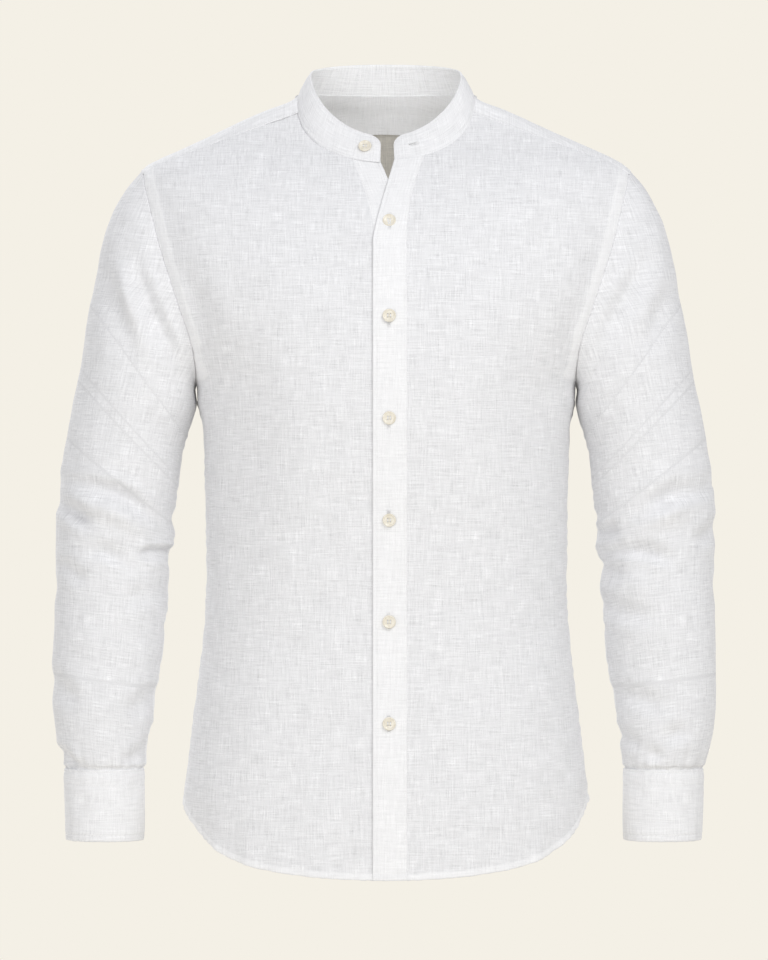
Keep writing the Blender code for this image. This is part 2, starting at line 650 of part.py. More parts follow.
def add_sleeves():
    """The sleeves' edges face as the armhole does where the two are nearly in line."""
    rings = [ring[::-1] for ring in sleeve_rings()]
    loop = armhole_loop()[::-1]
    first, last = SLEEVE_PLACKET_COLUMNS
    length = UNDERARM_HEIGHT - CUFF_TOP_HEIGHT
    for side in ("left", "right"):
        swung = [[point + Vector((SLEEVE_SWING[side] * max(0.0, (UNDERARM_HEIGHT - point.z) / length), 0, 0))
                  for point in ring] for ring in rings]
        sleeve = spots_of(swung, ring=True)
        for column, seam in enumerate(loop):
            own = sleeve[0][column]
            share = min(max(1.5 * own.normal.dot(seam.normal), 0.0), 1.0)
            sleeve[0][column] = Spot(own.point, mix(own.normal, seam.normal, share).normalized())
        strip = [line[first:last + 1] for line in sunk(sleeve, lambda row, column: -LAYER)]
        strip = strip[-SLEEVE_PLACKET_ROWS:]
        cuff = cuff_spots(side)
        if side == "right":
            sleeve, strip, cuff = mirrored(sleeve), mirrored(strip), mirrored(cuff)
        cloth_wall("sleeve_" + side, sleeve, CLOTH, ring=True)
        cloth_wall("sleeve_placket_" + side, strip, CLOTH)
        cloth_wall("cuff_" + side, cuff, CUFF_THICKNESS)


def cuff_spots(side):
    """A left cuff, wound once round the wrist with its under end tucked inside the over end."""
    last = SLEEVE[-1]
    tuck = CUFF_THICKNESS + SEAM_GAP
    centre_x = (last.outer_x + last.inner_x) / 2 + SLEEVE_SWING[side]
    columns = []
    for step in range(CUFF_STEPS + 1):
        travel = (2 * math.pi + CUFF_OVERLAP) * step / CUFF_STEPS
        angle = CUFF_UNDER_END - travel
        inset = tuck * (1 - min(max((travel - CUFF_OVERLAP) / CUFF_TUCK_TURN, 0.0), 1.0))
        column = []
        for height, taper in ((CUFF_BOTTOM_HEIGHT, CUFF_TAPER), (CUFF_TOP_HEIGHT - SEAM_GAP, 0.0)):
            x = centre_x - taper + (CUFF_HALF_WIDTH - inset - taper) * math.cos(angle)
            y = last.middle_y - (CUFF_HALF_DEPTH - inset - taper) * math.sin(angle)
            column.append(Vector((x, y, height)))
        columns.append(column)
    spots = spots_of([[column[row] for column in columns] for row in (0, 1)])
    centre = Vector((centre_x, last.middle_y, CUFF_TOP_HEIGHT))
    if spots[1][0].normal.dot(spots[1][0].point - centre) < 0:
        spots = [line[::-1] for line in spots]
        spots = [[Spot(spot.point, -spot.normal) for spot in line] for line in spots]
    return spots


def add_button(name, place, facing, radius):
    """A round button with a raised rim, turned to face out of the cloth under it."""
    half = BUTTON_THICKNESS / 2
    dish = radius - BUTTON_RIM
    profile = ((0.0, -half), (radius - 0.0012, -half), (radius, -half + 0.0011), (radius, half - 0.0004),
               (radius - 0.0005, half), (dish, half), (dish - 0.0006, half - 0.0006), (0.0, half - 0.0006))
    form = bmesh.new()
    line = [form.verts.new((out, 0.0, up)) for out, up in profile]
    for start, end in zip(line, line[1:]):
        form.edges.new((start, end))
    bmesh.ops.spin(form, geom=form.verts[:] + form.edges[:], axis=(0, 0, 1), cent=(0, 0, 0),
                   angle=2 * math.pi, steps=BUTTON_STEPS, use_merge=True)
    bmesh.ops.remove_doubles(form, verts=form.verts, dist=1e-6)
    bmesh.ops.recalc_face_normals(form, faces=form.faces)
    mesh = bpy.data.meshes.new(name)
    form.to_mesh(mesh)
    form.free()
    made = add_object(name, mesh, IVORY)
    made.rotation_mode = "QUATERNION"
    made.rotation_quaternion = facing.to_track_quat("Z", "Y")
    made.location = place + facing * (half + BUTTON_STANDOFF)


def cloth_under(name, near, facing):
    """Where a line through a point, along a direction, comes out of a named piece, and how it faces."""
    reach = 0.05
    hit, place, normal, _ = bpy.data.objects[name].ray_cast(near + facing * reach, -facing)
    if not hit:
        raise RuntimeError("no cloth under a button on " + name)
    return place, normal


def add_buttons():
    bpy.context.view_layer.update()
    heights = [FIRST_BUTTON_HEIGHT]
    heights += [SECOND_BUTTON_HEIGHT - BUTTON_PITCH * step for step in range(FRONT_BUTTON_COUNT - 1)]
    for number, height in enumerate(heights, 1):
        near = on_figure(turn_at(BUTTON_LINE, height), height)
        place, normal = cloth_under("placket_left", near, Vector((0, -1, 0)))
        add_button("button_front_%d" % number, place, normal, BUTTON_RADIUS)
    bottom = neck_point(COLLAR_BUTTON_TURN)
    near = bottom + (collar_top(COLLAR_BUTTON_TURN) - bottom) * COLLAR_BUTTON_SHARE
    facing = Vector((math.sin(COLLAR_BUTTON_TURN), -1, 0)).normalized()
    place, normal = cloth_under("collar_band", near, facing)
    add_button("button_collar", place, normal, BUTTON_RADIUS)
    last = SLEEVE[-1]
    height = (CUFF_TOP_HEIGHT + CUFF_BOTTOM_HEIGHT) / 2
    angle = CUFF_UNDER_END - CUFF_OVERLAP / 2
    for side, sign in (("left", 1), ("right", -1)):
        centre_x = sign * ((last.outer_x + last.inner_x) / 2 + SLEEVE_SWING[side])
        facing = Vector((sign * math.cos(angle), -math.sin(angle), 0)).normalized()
        place, normal = cloth_under("cuff_" + side, Vector((centre_x, last.middle_y, height)), facing)
        add_button("cuff_button_" + side, place, normal, CUFF_BUTTON_RADIUS)


def main():
    for old in list(bpy.data.objects):
        bpy.data.objects.remove(old, do_unlink=True)
    add_fronts()
    add_plackets()
    add_back_and_yoke()
    add_collar()
    add_sleeves()
    add_buttons()


main()
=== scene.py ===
import math
import bpy
import bmesh
import numpy as np
from mathutils import Matrix, Vector


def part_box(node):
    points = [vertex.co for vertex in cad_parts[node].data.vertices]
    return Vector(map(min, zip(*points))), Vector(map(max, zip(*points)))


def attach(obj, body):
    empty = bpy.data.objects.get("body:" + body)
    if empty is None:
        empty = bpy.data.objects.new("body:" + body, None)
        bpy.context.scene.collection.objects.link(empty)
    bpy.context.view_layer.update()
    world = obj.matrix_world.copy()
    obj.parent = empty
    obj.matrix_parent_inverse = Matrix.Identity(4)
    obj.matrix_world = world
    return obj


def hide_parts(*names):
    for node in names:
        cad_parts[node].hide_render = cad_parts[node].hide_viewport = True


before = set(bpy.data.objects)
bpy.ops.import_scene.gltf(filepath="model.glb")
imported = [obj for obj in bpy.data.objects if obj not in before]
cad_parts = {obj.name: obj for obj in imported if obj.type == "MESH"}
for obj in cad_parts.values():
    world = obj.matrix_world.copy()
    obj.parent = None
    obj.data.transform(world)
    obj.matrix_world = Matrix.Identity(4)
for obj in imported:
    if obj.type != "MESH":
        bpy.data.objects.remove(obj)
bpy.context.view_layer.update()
print("frame loaded:", len(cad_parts), "nodes")

# A white linen shirt with a band collar, filled out but empty. Metres, +Z up,
# the front faces -Y and the wearer's left is +X. A place on the body is a turn
# (0 at the centre front, pi at the centre back) and a height.


# small sums used everywhere
def mix(start, end, share):
    return start + (end - start) * share


def smooth(share):
    share = np.clip(share, 0.0, 1.0)
    return share * share * (3 - 2 * share)


def power(base, exponent):
    # keeps the sign, so that it works all round the body
    return np.sign(base) * np.abs(base) ** exponent


def unit(vectors):
    return vectors / np.maximum(np.linalg.norm(vectors, axis=-1, keepdims=True), 1e-12)


def dots(first, second):
    return (first * second).sum(axis=-1)


def travelled(path):
    # how far along a line each of its points is
    return np.concatenate([[0], np.cumsum(np.linalg.norm(np.diff(path, axis=0), axis=-1))])


def readAt(place, lengths, values):
    # values given along a line, read at other places on it
    return np.stack([np.interp(place, lengths, values[:, axis]) for axis in range(values.shape[-1])], axis=-1)


def pushed(points, facing, amount):
    return points + facing * amount[..., None]


def along(rows, key, value, place):
    # one column of a table of sections, read between its rows on a smooth curve
    rows = sorted(rows, key=lambda row: row[key])
    places = np.array([row[key] for row in rows])
    values = np.array([row[value] for row in rows])
    slopes = np.empty(len(places))
    slopes[1:-1] = (values[2:] - values[:-2]) / (places[2:] - places[:-2])
    slopes[0] = (values[1] - values[0]) / (places[1] - places[0])
    slopes[-1] = (values[-1] - values[-2]) / (places[-1] - places[-2])
    place = np.clip(place, places[0], places[-1])
    index = np.clip(np.searchsorted(places, place) - 1, 0, len(places) - 2)
    length = places[index + 1] - places[index]
    share = (place - places[index]) / length
    square, cube = share ** 2, share ** 3
    return ((2 * cube - 3 * square + 1) * values[index] + (cube - 2 * square + share) * length * slopes[index]
            + (3 * square - 2 * cube) * values[index + 1] + (cube - square) * length * slopes[index + 1])


def fineLines(length, step, edgeStep=0.0009, edge=0.010, start=True, end=True):
    # shares of a length: close together beside a sewn edge, wider apart between
    low = edge if start else 0.0
    high = length - (edge if end else 0.0)
    parts = [np.linspace(low, high, max(2, round((high - low) / step) + 1))]
    if start:
        parts.insert(0, np.linspace(0, edge, round(edge / edgeStep) + 1)[:-1])
    if end:
        parts.append(np.linspace(high, length, round(edge / edgeStep) + 1)[1:])
    return np.concatenate(parts) / length


# the form of the body
body = {
    "squareness": 2.3,
    "frontHem": -0.7320, "backHem": -0.7440, "sideHem": -0.6650,
    "underarm": -0.2700, "armholeTop": -0.0665, "frontYokeEnd": -0.0710, "backYokeEnd": -0.0870,
    "sections": [dict(zip(("height", "halfWidth", "front", "back"), row)) for row in (
        (0.0100, 0.0740, 0.0000, 0.0590),
        (0.0000, 0.0865, 0.0000, 0.0670),
        (-0.0090, 0.1085, 0.0088, 0.0750),
        (-0.0260, 0.1470, 0.0255, 0.0865),
        (-0.0440, 0.1880, 0.0440, 0.0950),
        (-0.0608, 0.2225, 0.0622, 0.1015),
        (-0.0720, 0.2350, 0.0722, 0.1050),
        (-0.0850, 0.2395, 0.0820, 0.1088),
        (-0.1050, 0.2400, 0.0945, 0.1135),
        (-0.1300, 0.2370, 0.1065, 0.1180),
        (-0.1600, 0.2300, 0.1170, 0.1218),
        (-0.1900, 0.2190, 0.1240, 0.1242),
        (-0.2200, 0.2050, 0.1285, 0.1252),
        (-0.2480, 0.1895, 0.1305, 0.1250),
        (-0.2700, 0.1800, 0.1312, 0.1240),
        (-0.3040, 0.1748, 0.1305, 0.1205),
        (-0.3600, 0.1722, 0.1265, 0.1130),
        (-0.4200, 0.1712, 0.1210, 0.1065),
        (-0.4700, 0.1714, 0.1180, 0.1050),
        (-0.5200, 0.1750, 0.1180, 0.1080),
        (-0.5700, 0.1810, 0.1200, 0.1140),
        (-0.6200, 0.1875, 0.1220, 0.1200),
        (-0.6600, 0.1918, 0.1230, 0.1240),
        (-0.7500, 0.1920, 0.1235, 0.1260))],
    "armhole": [dict(zip(("height", "front", "back"), row)) for row in (
        (-0.2700, 0.1800, 0.1800),
        (-0.2550, 0.1790, 0.1810),
        (-0.2300, 0.1830, 0.1880),
        (-0.2000, 0.1930, 0.1990),
        (-0.1700, 0.2030, 0.2090),
        (-0.1400, 0.2125, 0.2165),
        (-0.1150, 0.2190, 0.2215),
        (-0.0950, 0.2240, 0.2248),
        (-0.0870, 0.2262, 0.2262),
        (-0.0710, 0.2290, 0.2290))],
}
neck = {"halfWidth": 0.0845, "front": 0.0620, "back": 0.0600, "drop": 0.0608, "rise": 0.0090}


def onBody(turn, height):
    halfWidth = along(body["sections"], "height", "halfWidth", height)
    front = along(body["sections"], "height", "front", height)
    back = along(body["sections"], "height", "back", height)
    depth = np.where(np.cos(turn) > 0, front, back)
    bend = 2 / body["squareness"]
    return np.stack([halfWidth * power(np.sin(turn), bend), -depth * power(np.cos(turn), bend),
                     height + 0 * turn], axis=-1)


def bodyFacing(turn, height):
    step = 0.002
    around = onBody(turn + step, height) - onBody(turn - step, height)
    upward = onBody(turn, height + step) - onBody(turn, height - step)
    return unit(np.cross(around, upward))


def turnAt(sideways, height, behind=False):
    halfWidth = along(body["sections"], "height", "halfWidth", height)
    share = np.minimum(np.abs(sideways) / halfWidth, 1.0)
    turn = np.arcsin(share ** (body["squareness"] / 2))
    if behind:
        turn = math.pi - turn
    return np.where(sideways < 0, -turn, turn)


def onNeck(turn):
    across, ahead = np.sin(turn), np.cos(turn)
    drop = -neck["drop"] * (ahead + 0.22 * ahead * (1 - ahead))
    rise = neck["rise"] * (1 - np.maximum(1 + ahead, 0) ** 5)
    depth = np.where(ahead > 0, neck["front"], neck["back"])
    return np.stack([neck["halfWidth"] * across, -depth * ahead, np.where(ahead > 0, drop, rise)], axis=-1)


def neckTurn(sideways):
    return np.arcsin(sideways / neck["halfWidth"])


def hemHeight(turn):
    across = np.abs(np.sin(turn)) ** (2 / body["squareness"])
    middle = np.where(np.cos(turn) > 0, body["frontHem"], body["backHem"])
    return mix(middle, body["sideHem"], 0.35 * across ** 2 + 0.65 * across ** 8)


def armholePlace(share, top, side):
    # up the armhole seam from the underarm (0) to the yoke (1)
    height = mix(body["underarm"], top, np.sin(share * math.pi / 2) ** 1.15)
    sideways = along(body["armhole"], "height", side, height)
    return turnAt(sideways, height, side == "back"), height


profileHeights = np.linspace(-0.76, 0.01, 400)


def clothPlace(turn, height, behind=False):
    # where the cloth's own threads run: the way round from the centre line and the way up
    base = math.pi if behind else 0.0
    halfWidth = along(body["sections"], "height", "halfWidth", height)
    depth = along(body["sections"], "height", "back" if behind else "front", height)
    bend = 2 / body["squareness"]
    length, last = 0.0, None
    for share in np.linspace(0, 1, 20):
        angle = share * (turn - base)
        place = np.stack([halfWidth * power(np.sin(angle), bend), depth * power(np.cos(angle), bend)])
        if last is not None:
            length = length + np.linalg.norm(place - last, axis=0)
        last = place
    profile = along(body["sections"], "height", "back" if behind else "front", profileHeights)
    steps = np.hypot(np.diff(profileHeights), np.diff(profile))
    up = np.interp(height, profileHeights, np.concatenate([[0], np.cumsum(steps)]))
    return np.stack([np.sign(turn - base) * length, up + 0 * turn], axis=-1)


# folds: soft troughs (-) and ridges (+), listed one by one
def curveThrough(points, perSpan=6):
    points = np.array(points, float)
    ends = np.vstack([2 * points[0] - points[1], points, 2 * points[-1] - points[-2]])
    out = []
    for index in range(1, len(ends) - 2):
        a, b, c, d = ends[index - 1:index + 3]
        for t in np.linspace(0, 1, perSpan, endpoint=False):
            out.append(0.5 * (2 * b + (c - a) * t + (2 * a - 5 * b + 4 * c - d) * t * t
                              + (3 * b - a - 3 * c + d) * t ** 3))
    out.append(points[-1])
    return np.array(out)


def fold(face, depth, width, path, skew=0.0, lip=0.28, ends=(0.0, 0.0)):
    # a path of (x, z) places; skew makes one side steeper, ends are the shares of depth left there
    return {"face": face, "depth": depth, "width": width, "path": path,
            "skew": skew, "lip": lip, "ends": ends}


def foldRelief(points, facing, folds):
    # how far each point is pushed out by the folds, which are drawn on the front or the back
    flat = points.reshape(-1, 3)[:, (0, 2)]
    ahead = -facing.reshape(-1, 3)[:, 1]
    relief = np.zeros(len(flat))
    rows = np.arange(len(flat))
    for each in folds:
        path = curveThrough(each["path"])
        starts, steps = path[:-1], path[1:] - path[:-1]
        offset = flat[:, None, :] - starts[None]
        share = np.clip(dots(offset, steps[None]) / (steps ** 2).sum(-1)[None], 0, 1)
        gap = offset - share[..., None] * steps[None]
        distance = np.linalg.norm(gap, axis=-1)
        nearest = distance.argmin(axis=1)
        travel = (nearest + share[rows, nearest]) / len(steps)
        step, aside = steps[nearest], gap[rows, nearest]
        side = np.sign(step[:, 0] * aside[:, 1] - step[:, 1] * aside[:, 0])
        reach = distance[rows, nearest] / (each["width"] * (1 + side * each["skew"]))
        first, last = each["ends"]
        fade = np.where(travel < 0.5, mix(first, 1.0, smooth(2 * travel)),
                        mix(1.0, last, smooth(2 * travel - 1)))
        profile = np.exp(-reach ** 2) - each["lip"] * np.exp(-((reach - 1.9) / 0.9) ** 2)
        seen = smooth(0.62 + (ahead if each["face"] == "front" else -ahead) * 1.25)
        relief += each["depth"] * profile * fade * seen
    return relief.reshape(points.shape[:-1])


def crumple(points, amount=1.0):
    # the unevenness of washed linen: long soft waves and a little short creasing
    x, y, z = points[..., 0], points[..., 1], points[..., 2]
    drift = 1.7 * np.sin(9.0 * x + 6.0 * z + 4.0 * y + 0.4) + 1.1 * np.sin(13.0 * z - 7.0 * x + 5.0 * y + 2.1)
    long = (np.sin(31 * x + 9 * z + 22 * y + drift)
            + 0.8 * np.sin(19 * z - 27 * x + 15 * y + 1.6 * drift + 1.0))
    middle = (np.sin(74 * x - 41 * z + 60 * y + 1.9 * drift)
              + np.sin(88 * z + 37 * x - 51 * y - 1.3 * drift + 0.7))
    short = (np.sin(171 * x + 122 * z - 140 * y + 2.4 * drift)
             * np.sin(143 * z - 97 * x + 111 * y + 1.1 * drift))
    return amount * (0.00042 * long + 0.00017 * middle + 0.00016 * short)


# walls of cloth
def newObject(name, data, *materials):
    for material in materials:
        data.materials.append(material)
    made = bpy.data.objects.new(name, data)
    bpy.context.collection.objects.link(made)
    return made


def edgeDistances(points, ring=False):
    # the way along the cloth from each of its edges, for every point of its grid
    down = np.linalg.norm(np.diff(points, axis=0), axis=-1)
    rows = np.concatenate([np.zeros((1, points.shape[1])), np.cumsum(down, axis=0)])
    closed = np.concatenate([points, points[:, :1]], axis=1) if ring else points
    around = np.linalg.norm(np.diff(closed, axis=1), axis=-1)
    columns = np.concatenate([np.zeros((points.shape[0], 1)), np.cumsum(around, axis=1)], axis=1)
    return {"bottom": rows, "top": rows[-1] - rows, "start": columns,
            "end": columns[:, -1:] - columns}


def slant(points, edge):
    # line by line, how squarely the grid meets an edge: 1 where it does, less where it runs in at a slant
    rim, beside = (points[-1], points[-2]) if edge == "top" else (points[0], points[1])
    if edge in ("start", "end"):
        rim, beside = (points[:, -1], points[:, -2]) if edge == "end" else (points[:, 0], points[:, 1])
    seam = unit(np.gradient(rim, axis=0))
    return np.maximum(np.linalg.norm(np.cross(unit(rim - beside), seam), axis=-1), 0.3)


def wallFaces(rows, columns, ring):
    # corners of each face as vertex numbers, and as places in the grid of cloth coordinates
    steps = columns if ring else columns - 1
    wide = steps + 1
    i, j = np.meshgrid(np.arange(rows - 1), np.arange(steps), indexing="ij")
    cornerRows = np.stack([i, i, i + 1, i + 1], axis=-1).reshape(-1, 4)
    cornerColumns = np.stack([j, j + 1, j + 1, j], axis=-1).reshape(-1, 4)
    outer = cornerRows * columns + cornerColumns % columns
    places = cornerRows * wide + cornerColumns
    count = rows * columns
    faces = [outer, count + outer[:, ::-1]]
    uvs = [places, places[:, ::-1]]
    if ring:
        loops = [[(0, k) for k in range(wide)], [(rows - 1, k) for k in range(wide - 1, -1, -1)]]
    else:
        loops = [[(0, k) for k in range(columns)] + [(k, columns - 1) for k in range(1, rows)]
                 + [(rows - 1, k) for k in range(columns - 2, -1, -1)]
                 + [(k, 0) for k in range(rows - 2, -1, -1)]]
    rims = []
    base = 2 * count
    for loop in loops:
        own = loop[:-1]
        rims += own
        for k in range(len(own)):
            (r0, c0), (r1, c1) = loop[k], loop[k + 1]
            a, b = r0 * columns + c0 % columns, r1 * columns + c1 % columns
            ra, rb = base + k, base + (k + 1) % len(own)
            ua, ub = r0 * wide + c0, r1 * wide + c1
            faces.append(np.array([[b, a, ra, rb], [rb, ra, count + a, count + b]]))
            uvs.append(np.array([[ub, ua, ua, ub], [ub, ua, ua, ub]]))
        base += len(own)
    return np.concatenate(faces), np.concatenate(uvs), rims


def makeWall(name, outer, inner, plies, material, ring=False, uv=None, lined=False):
    # one closed wall of cloth from its two faces, with a rounded rim
    rows, columns = outer.shape[:2]
    faces, places, rims = wallFaces(rows, columns, ring)
    r = np.array([place[0] for place in rims])
    c = np.array([place[1] for place in rims]) % columns
    innerRow = np.clip(r, 1, rows - 2)
    innerColumn = c if ring else np.clip(c, 1, columns - 2)
    middle = (outer[r, c] + inner[r, c]) / 2
    thick = np.linalg.norm(outer[r, c] - inner[r, c], axis=-1, keepdims=True)
    outward = unit(outer[r, c] - outer[innerRow, innerColumn])
    rim = middle + outward * thick * 0.42
    points = np.concatenate([outer.reshape(-1, 3), inner.reshape(-1, 3), rim])
    normal = np.cross(outer[0, 1] - outer[0, 0], outer[1, 0] - outer[0, 0])
    if np.dot(normal, outer[0, 0] - inner[0, 0]) < 0:
        faces, places = faces[:, ::-1], places[:, ::-1]
    mesh = bpy.data.meshes.new(name)
    mesh.from_pydata(points.tolist(), [], faces.tolist())
    if uv is None:
        lengths = edgeDistances(outer)
        uv = np.stack([lengths["start"], lengths["bottom"]], axis=-1)
    layer = mesh.uv_layers.new(name="UVMap")
    layer.data.foreach_set("uv", uv.reshape(-1, 2)[places.reshape(-1)].astype(np.float32).ravel())
    # inner faces of unlined pieces take the material's inside colour: painted shade on the plain and back
    # linen, painted light on the neck linen; rims take a little of it
    within = 0 * plies + (0 if lined else 1)
    for label, values in (("plies", (plies.ravel(), plies.ravel(), plies[r, c])),
                          ("inside", (0 * plies.ravel(), within.ravel(), np.full(len(r), 0.3)))):
        values = np.concatenate(values).astype(np.float32)
        mesh.attributes.new(label, "FLOAT", "POINT").data.foreach_set("value", values)
    mesh.shade_smooth()
    return newObject(name, mesh, material)


def nearestEdge(distances):
    return np.minimum.reduce(list(distances.values()))


def pucker(distance, travel, amount, period, reach=0.009):
    # the small ripple that sewing draws along a seam
    wave = np.sin(2 * math.pi * travel / period + 2.2 * np.sin(2 * math.pi * travel / (3.7 * period)))
    return amount * wave * np.exp(-(distance / reach) ** 2)


def seamRelief(distances, seams):
    # folded allowances, stitch grooves and puckers along the named edges; also where cloth lies double
    lift = 0.0 * distances["bottom"]
    plies = 0.0 * lift
    for seam in seams:
        distance = distances[seam["edge"]]
        travel = distances["start" if seam["edge"] in ("bottom", "top") else "bottom"]
        weight = seam.get("weight", 1.0)
        band = seam.get("band", 0.0)
        if band:
            on = smooth((band - distance) / 0.0011 + 0.5) * weight
            lift = lift + on * seam.get("rise", 0.0004)
            plies = np.maximum(plies, on)
        for line in seam.get("stitches", ()):
            lift = lift - seam.get("groove", 0.00036) * np.exp(-((distance - line) / 0.0009) ** 2) * weight
        lift = lift + pucker(distance, travel, seam.get("pucker", 0.0002), seam.get("period", 0.012)) * weight
    return lift, plies


# sewing thread
def tubeFaces(rings, sides):
    faces = []
    for ring in range(rings - 1):
        for corner in range(sides):
            a, b = ring * sides + corner, ring * sides + (corner + 1) % sides
            faces.append([a, b, b + sides, a + sides])
    return faces


thread = {"stitch": 0.0024, "pitch": 0.0031, "radius": 0.00020, "sink": 0.00004}


def stitchShapes(path, facing):
    # one small spindle of thread for each stitch along a path on the cloth
    lengths = travelled(path)
    count = int(lengths[-1] / thread["pitch"])
    if count < 1:
        return np.zeros((0, 3)), np.zeros((0, 4), int)
    middles = (np.arange(count) + 0.5) * lengths[-1] / count
    half, radius = thread["stitch"] / 2, thread["radius"]
    centre, normal = readAt(middles, lengths, path), unit(readAt(middles, lengths, facing))
    ahead = unit(readAt(middles + half, lengths, path) - readAt(middles - half, lengths, path))
    across = unit(np.cross(ahead, normal))
    centre = centre + normal * (radius * 0.35 - thread["sink"])
    rings = []
    for share, fat in ((-1.0, 0.35), (-0.55, 1.0), (0.55, 1.0), (1.0, 0.35)):
        dip = -radius * 1.4 * abs(share) ** 3
        middle = centre + ahead * half * share + normal * dip
        for corner in range(4):
            angle = math.pi / 4 + corner * math.pi / 2
            rings.append(middle + (across * math.cos(angle) * 1.25 + normal * math.sin(angle)) * radius * fat)
    points = np.stack(rings, axis=1).reshape(-1, 3)
    faces = np.array([[3, 2, 1, 0], [12, 13, 14, 15]] + tubeFaces(4, 4))
    faces = (faces[None] + 16 * np.arange(count)[:, None, None]).reshape(-1, 4)
    return points, faces


def threadPiece(name, shapes, material):
    points, faces, base = [], [], 0
    for own, corners in shapes:
        points.append(own)
        faces.append(corners + base)
        base += len(own)
    mesh = bpy.data.meshes.new(name)
    mesh.from_pydata(np.concatenate(points).tolist(), [], np.concatenate(faces).tolist())
    mesh.shade_smooth()
    piece = newObject(name, mesh, material)
    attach(piece, "root")


def insetPath(outer, facing, edge, inset, rows=None, trim=0.0, slants=None):
    # the line on the cloth that runs beside an edge, and the way the cloth faces there
    distance = edgeDistances(outer)[edge]
    if edge in ("bottom", "top"):
        distance, outer, facing = distance.T, outer.swapaxes(0, 1), facing.swapaxes(0, 1)
    places, normals = [], []
    for line in range(len(outer))[slice(*(rows or (0, None)))]:
        order = np.argsort(distance[line])
        reach = inset if slants is None else inset / slants[line]
        for values, found in ((outer, places), (facing, normals)):
            found.append(readAt(reach, distance[line][order], values[line][order]))
    places, normals = np.array(places), np.array(normals)
    if trim:
        lengths = travelled(places)
        keep = (lengths > trim) & (lengths < lengths[-1] - trim)
        places, normals = places[keep], normals[keep]
    return places, normals


# materials
linenLook = {
    "single": (0.802, 0.803, 0.815),       # one layer, the dark below shows through a little
    "double": (0.884, 0.884, 0.892),       # hems, strips, collar and cuffs
    # inner faces of unlined pieces, a little darker: painted shade
    "inside": (0.780, 0.780, 0.785),
    "insideBackPaintedShade": (0.64, 0.61, 0.55),      # painted shade: the back's inner side, darkened and warmed for the shade under the yoke
    # inner faces of the collar and the inner yoke, brighter than the outside: painted light in the neck
    "insideNeckPaintedLight": (0.95, 0.95, 0.952),
    "slubs": 0.27, "mottle": 0.07,
    "roughness": 0.86, "sheen": 0.25,
}


def newMaterial(name, roughness):
    material = bpy.data.materials.new(name)
    material.use_nodes = True
    shader = material.node_tree.nodes["Principled BSDF"]
    shader.inputs["Roughness"].default_value = roughness
    return material, material.node_tree, shader


def newNode(tree, kind, inputs=None, **settings):
    # each input is a value or another node's output
    node = tree.nodes.new("ShaderNode" + kind)
    for key, value in settings.items():
        setattr(node, key, value)
    for key, value in (inputs or {}).items():
        if isinstance(value, bpy.types.NodeSocket):
            tree.links.new(value, node.inputs[key])
        else:
            node.inputs[key].default_value = value
    return node


def makeLinen(name, inside):
    material, tree, shader = newMaterial(name, linenLook["roughness"])
    cloth = newNode(tree, "UVMap", uv_map="UVMap").outputs["UV"]

    def value(operation, *sources):
        return newNode(tree, "Math", dict(enumerate(sources)), operation=operation).outputs[0]

    def threads(scaleAcross, scaleUp, detail):
        mapped = newNode(tree, "Mapping", {"Vector": cloth, "Scale": (scaleAcross, scaleUp, 1.0)})
        return newNode(tree, "TexNoise", {"Vector": mapped.outputs["Vector"], "Scale": 1.0, "Detail": detail,
                                          "Roughness": 0.55}, noise_dimensions="2D").outputs["Fac"]

    warp = threads(900.0, 62.0, 2.0)          # upright yarns, thick and thin along their length
    weft = threads(54.0, 960.0, 2.0)          # yarns that run across
    thick = value("ADD", threads(430.0, 30.0, 1.0), threads(28.0, 470.0, 1.0))
    both = value("MULTIPLY_ADD", thick, 0.45, value("ADD", warp, weft))
    both = value("MULTIPLY_ADD", threads(700.0, 700.0, 2.0), 0.5, both)
    uneven = value("MULTIPLY_ADD", threads(95.0, 85.0, 2.0), 2.2, -0.1)
    pattern = value("MULTIPLY", value("MULTIPLY", value("SUBTRACT", both, 1.70), linenLook["slubs"]), uneven)
    patches = value("MULTIPLY", value("SUBTRACT", threads(62.0, 50.0, 3.0), 0.5), linenLook["mottle"])

    plies = newNode(tree, "Attribute", attribute_name="plies").outputs["Fac"]
    within = newNode(tree, "Attribute", attribute_name="inside").outputs["Fac"]
    layers = newNode(tree, "Mix", {"Factor": plies, "A": (*linenLook["single"], 1),
                                   "B": (*linenLook["double"], 1)}, data_type="RGBA")
    # inner faces get the inside colour, which paints shade on the plain and back linen and light on the neck
    # linen
    paintedInsideShadeAndLight = newNode(tree, "Mix", {"Factor": within, "A": layers.outputs["Result"], "B": (*inside, 1)},
                     data_type="RGBA")
    calmer = value("MULTIPLY_ADD", plies, -0.45, 1.0)
    factor = value("ADD", value("MULTIPLY", value("ADD", pattern, patches), calmer), 1.0)
    shade = newNode(tree, "VectorMath", {0: paintedInsideShadeAndLight.outputs["Result"], "Scale": factor}, operation="SCALE")
    tree.links.new(shade.outputs[0], shader.inputs["Base Color"])

    weave = {"Vector": cloth, "Scale": 600.0, "Distortion": 2.0, "Detail": 1.0, "Detail Scale": 0.2}
    waves = [newNode(tree, "TexWave", weave, bands_direction=way).outputs["Fac"] for way in "XY"]
    height = value("MULTIPLY_ADD", value("MAXIMUM", *waves), 0.25, both)
    bump = newNode(tree, "Bump", {"Strength": 0.55, "Distance": 0.00035, "Height": height})
    tree.links.new(bump.outputs["Normal"], shader.inputs["Normal"])
    shader.inputs["Sheen Weight"].default_value = linenLook["sheen"]
    shader.inputs["Sheen Roughness"].default_value = 0.5
    shader.inputs["Specular IOR Level"].default_value = 0.2
    return material


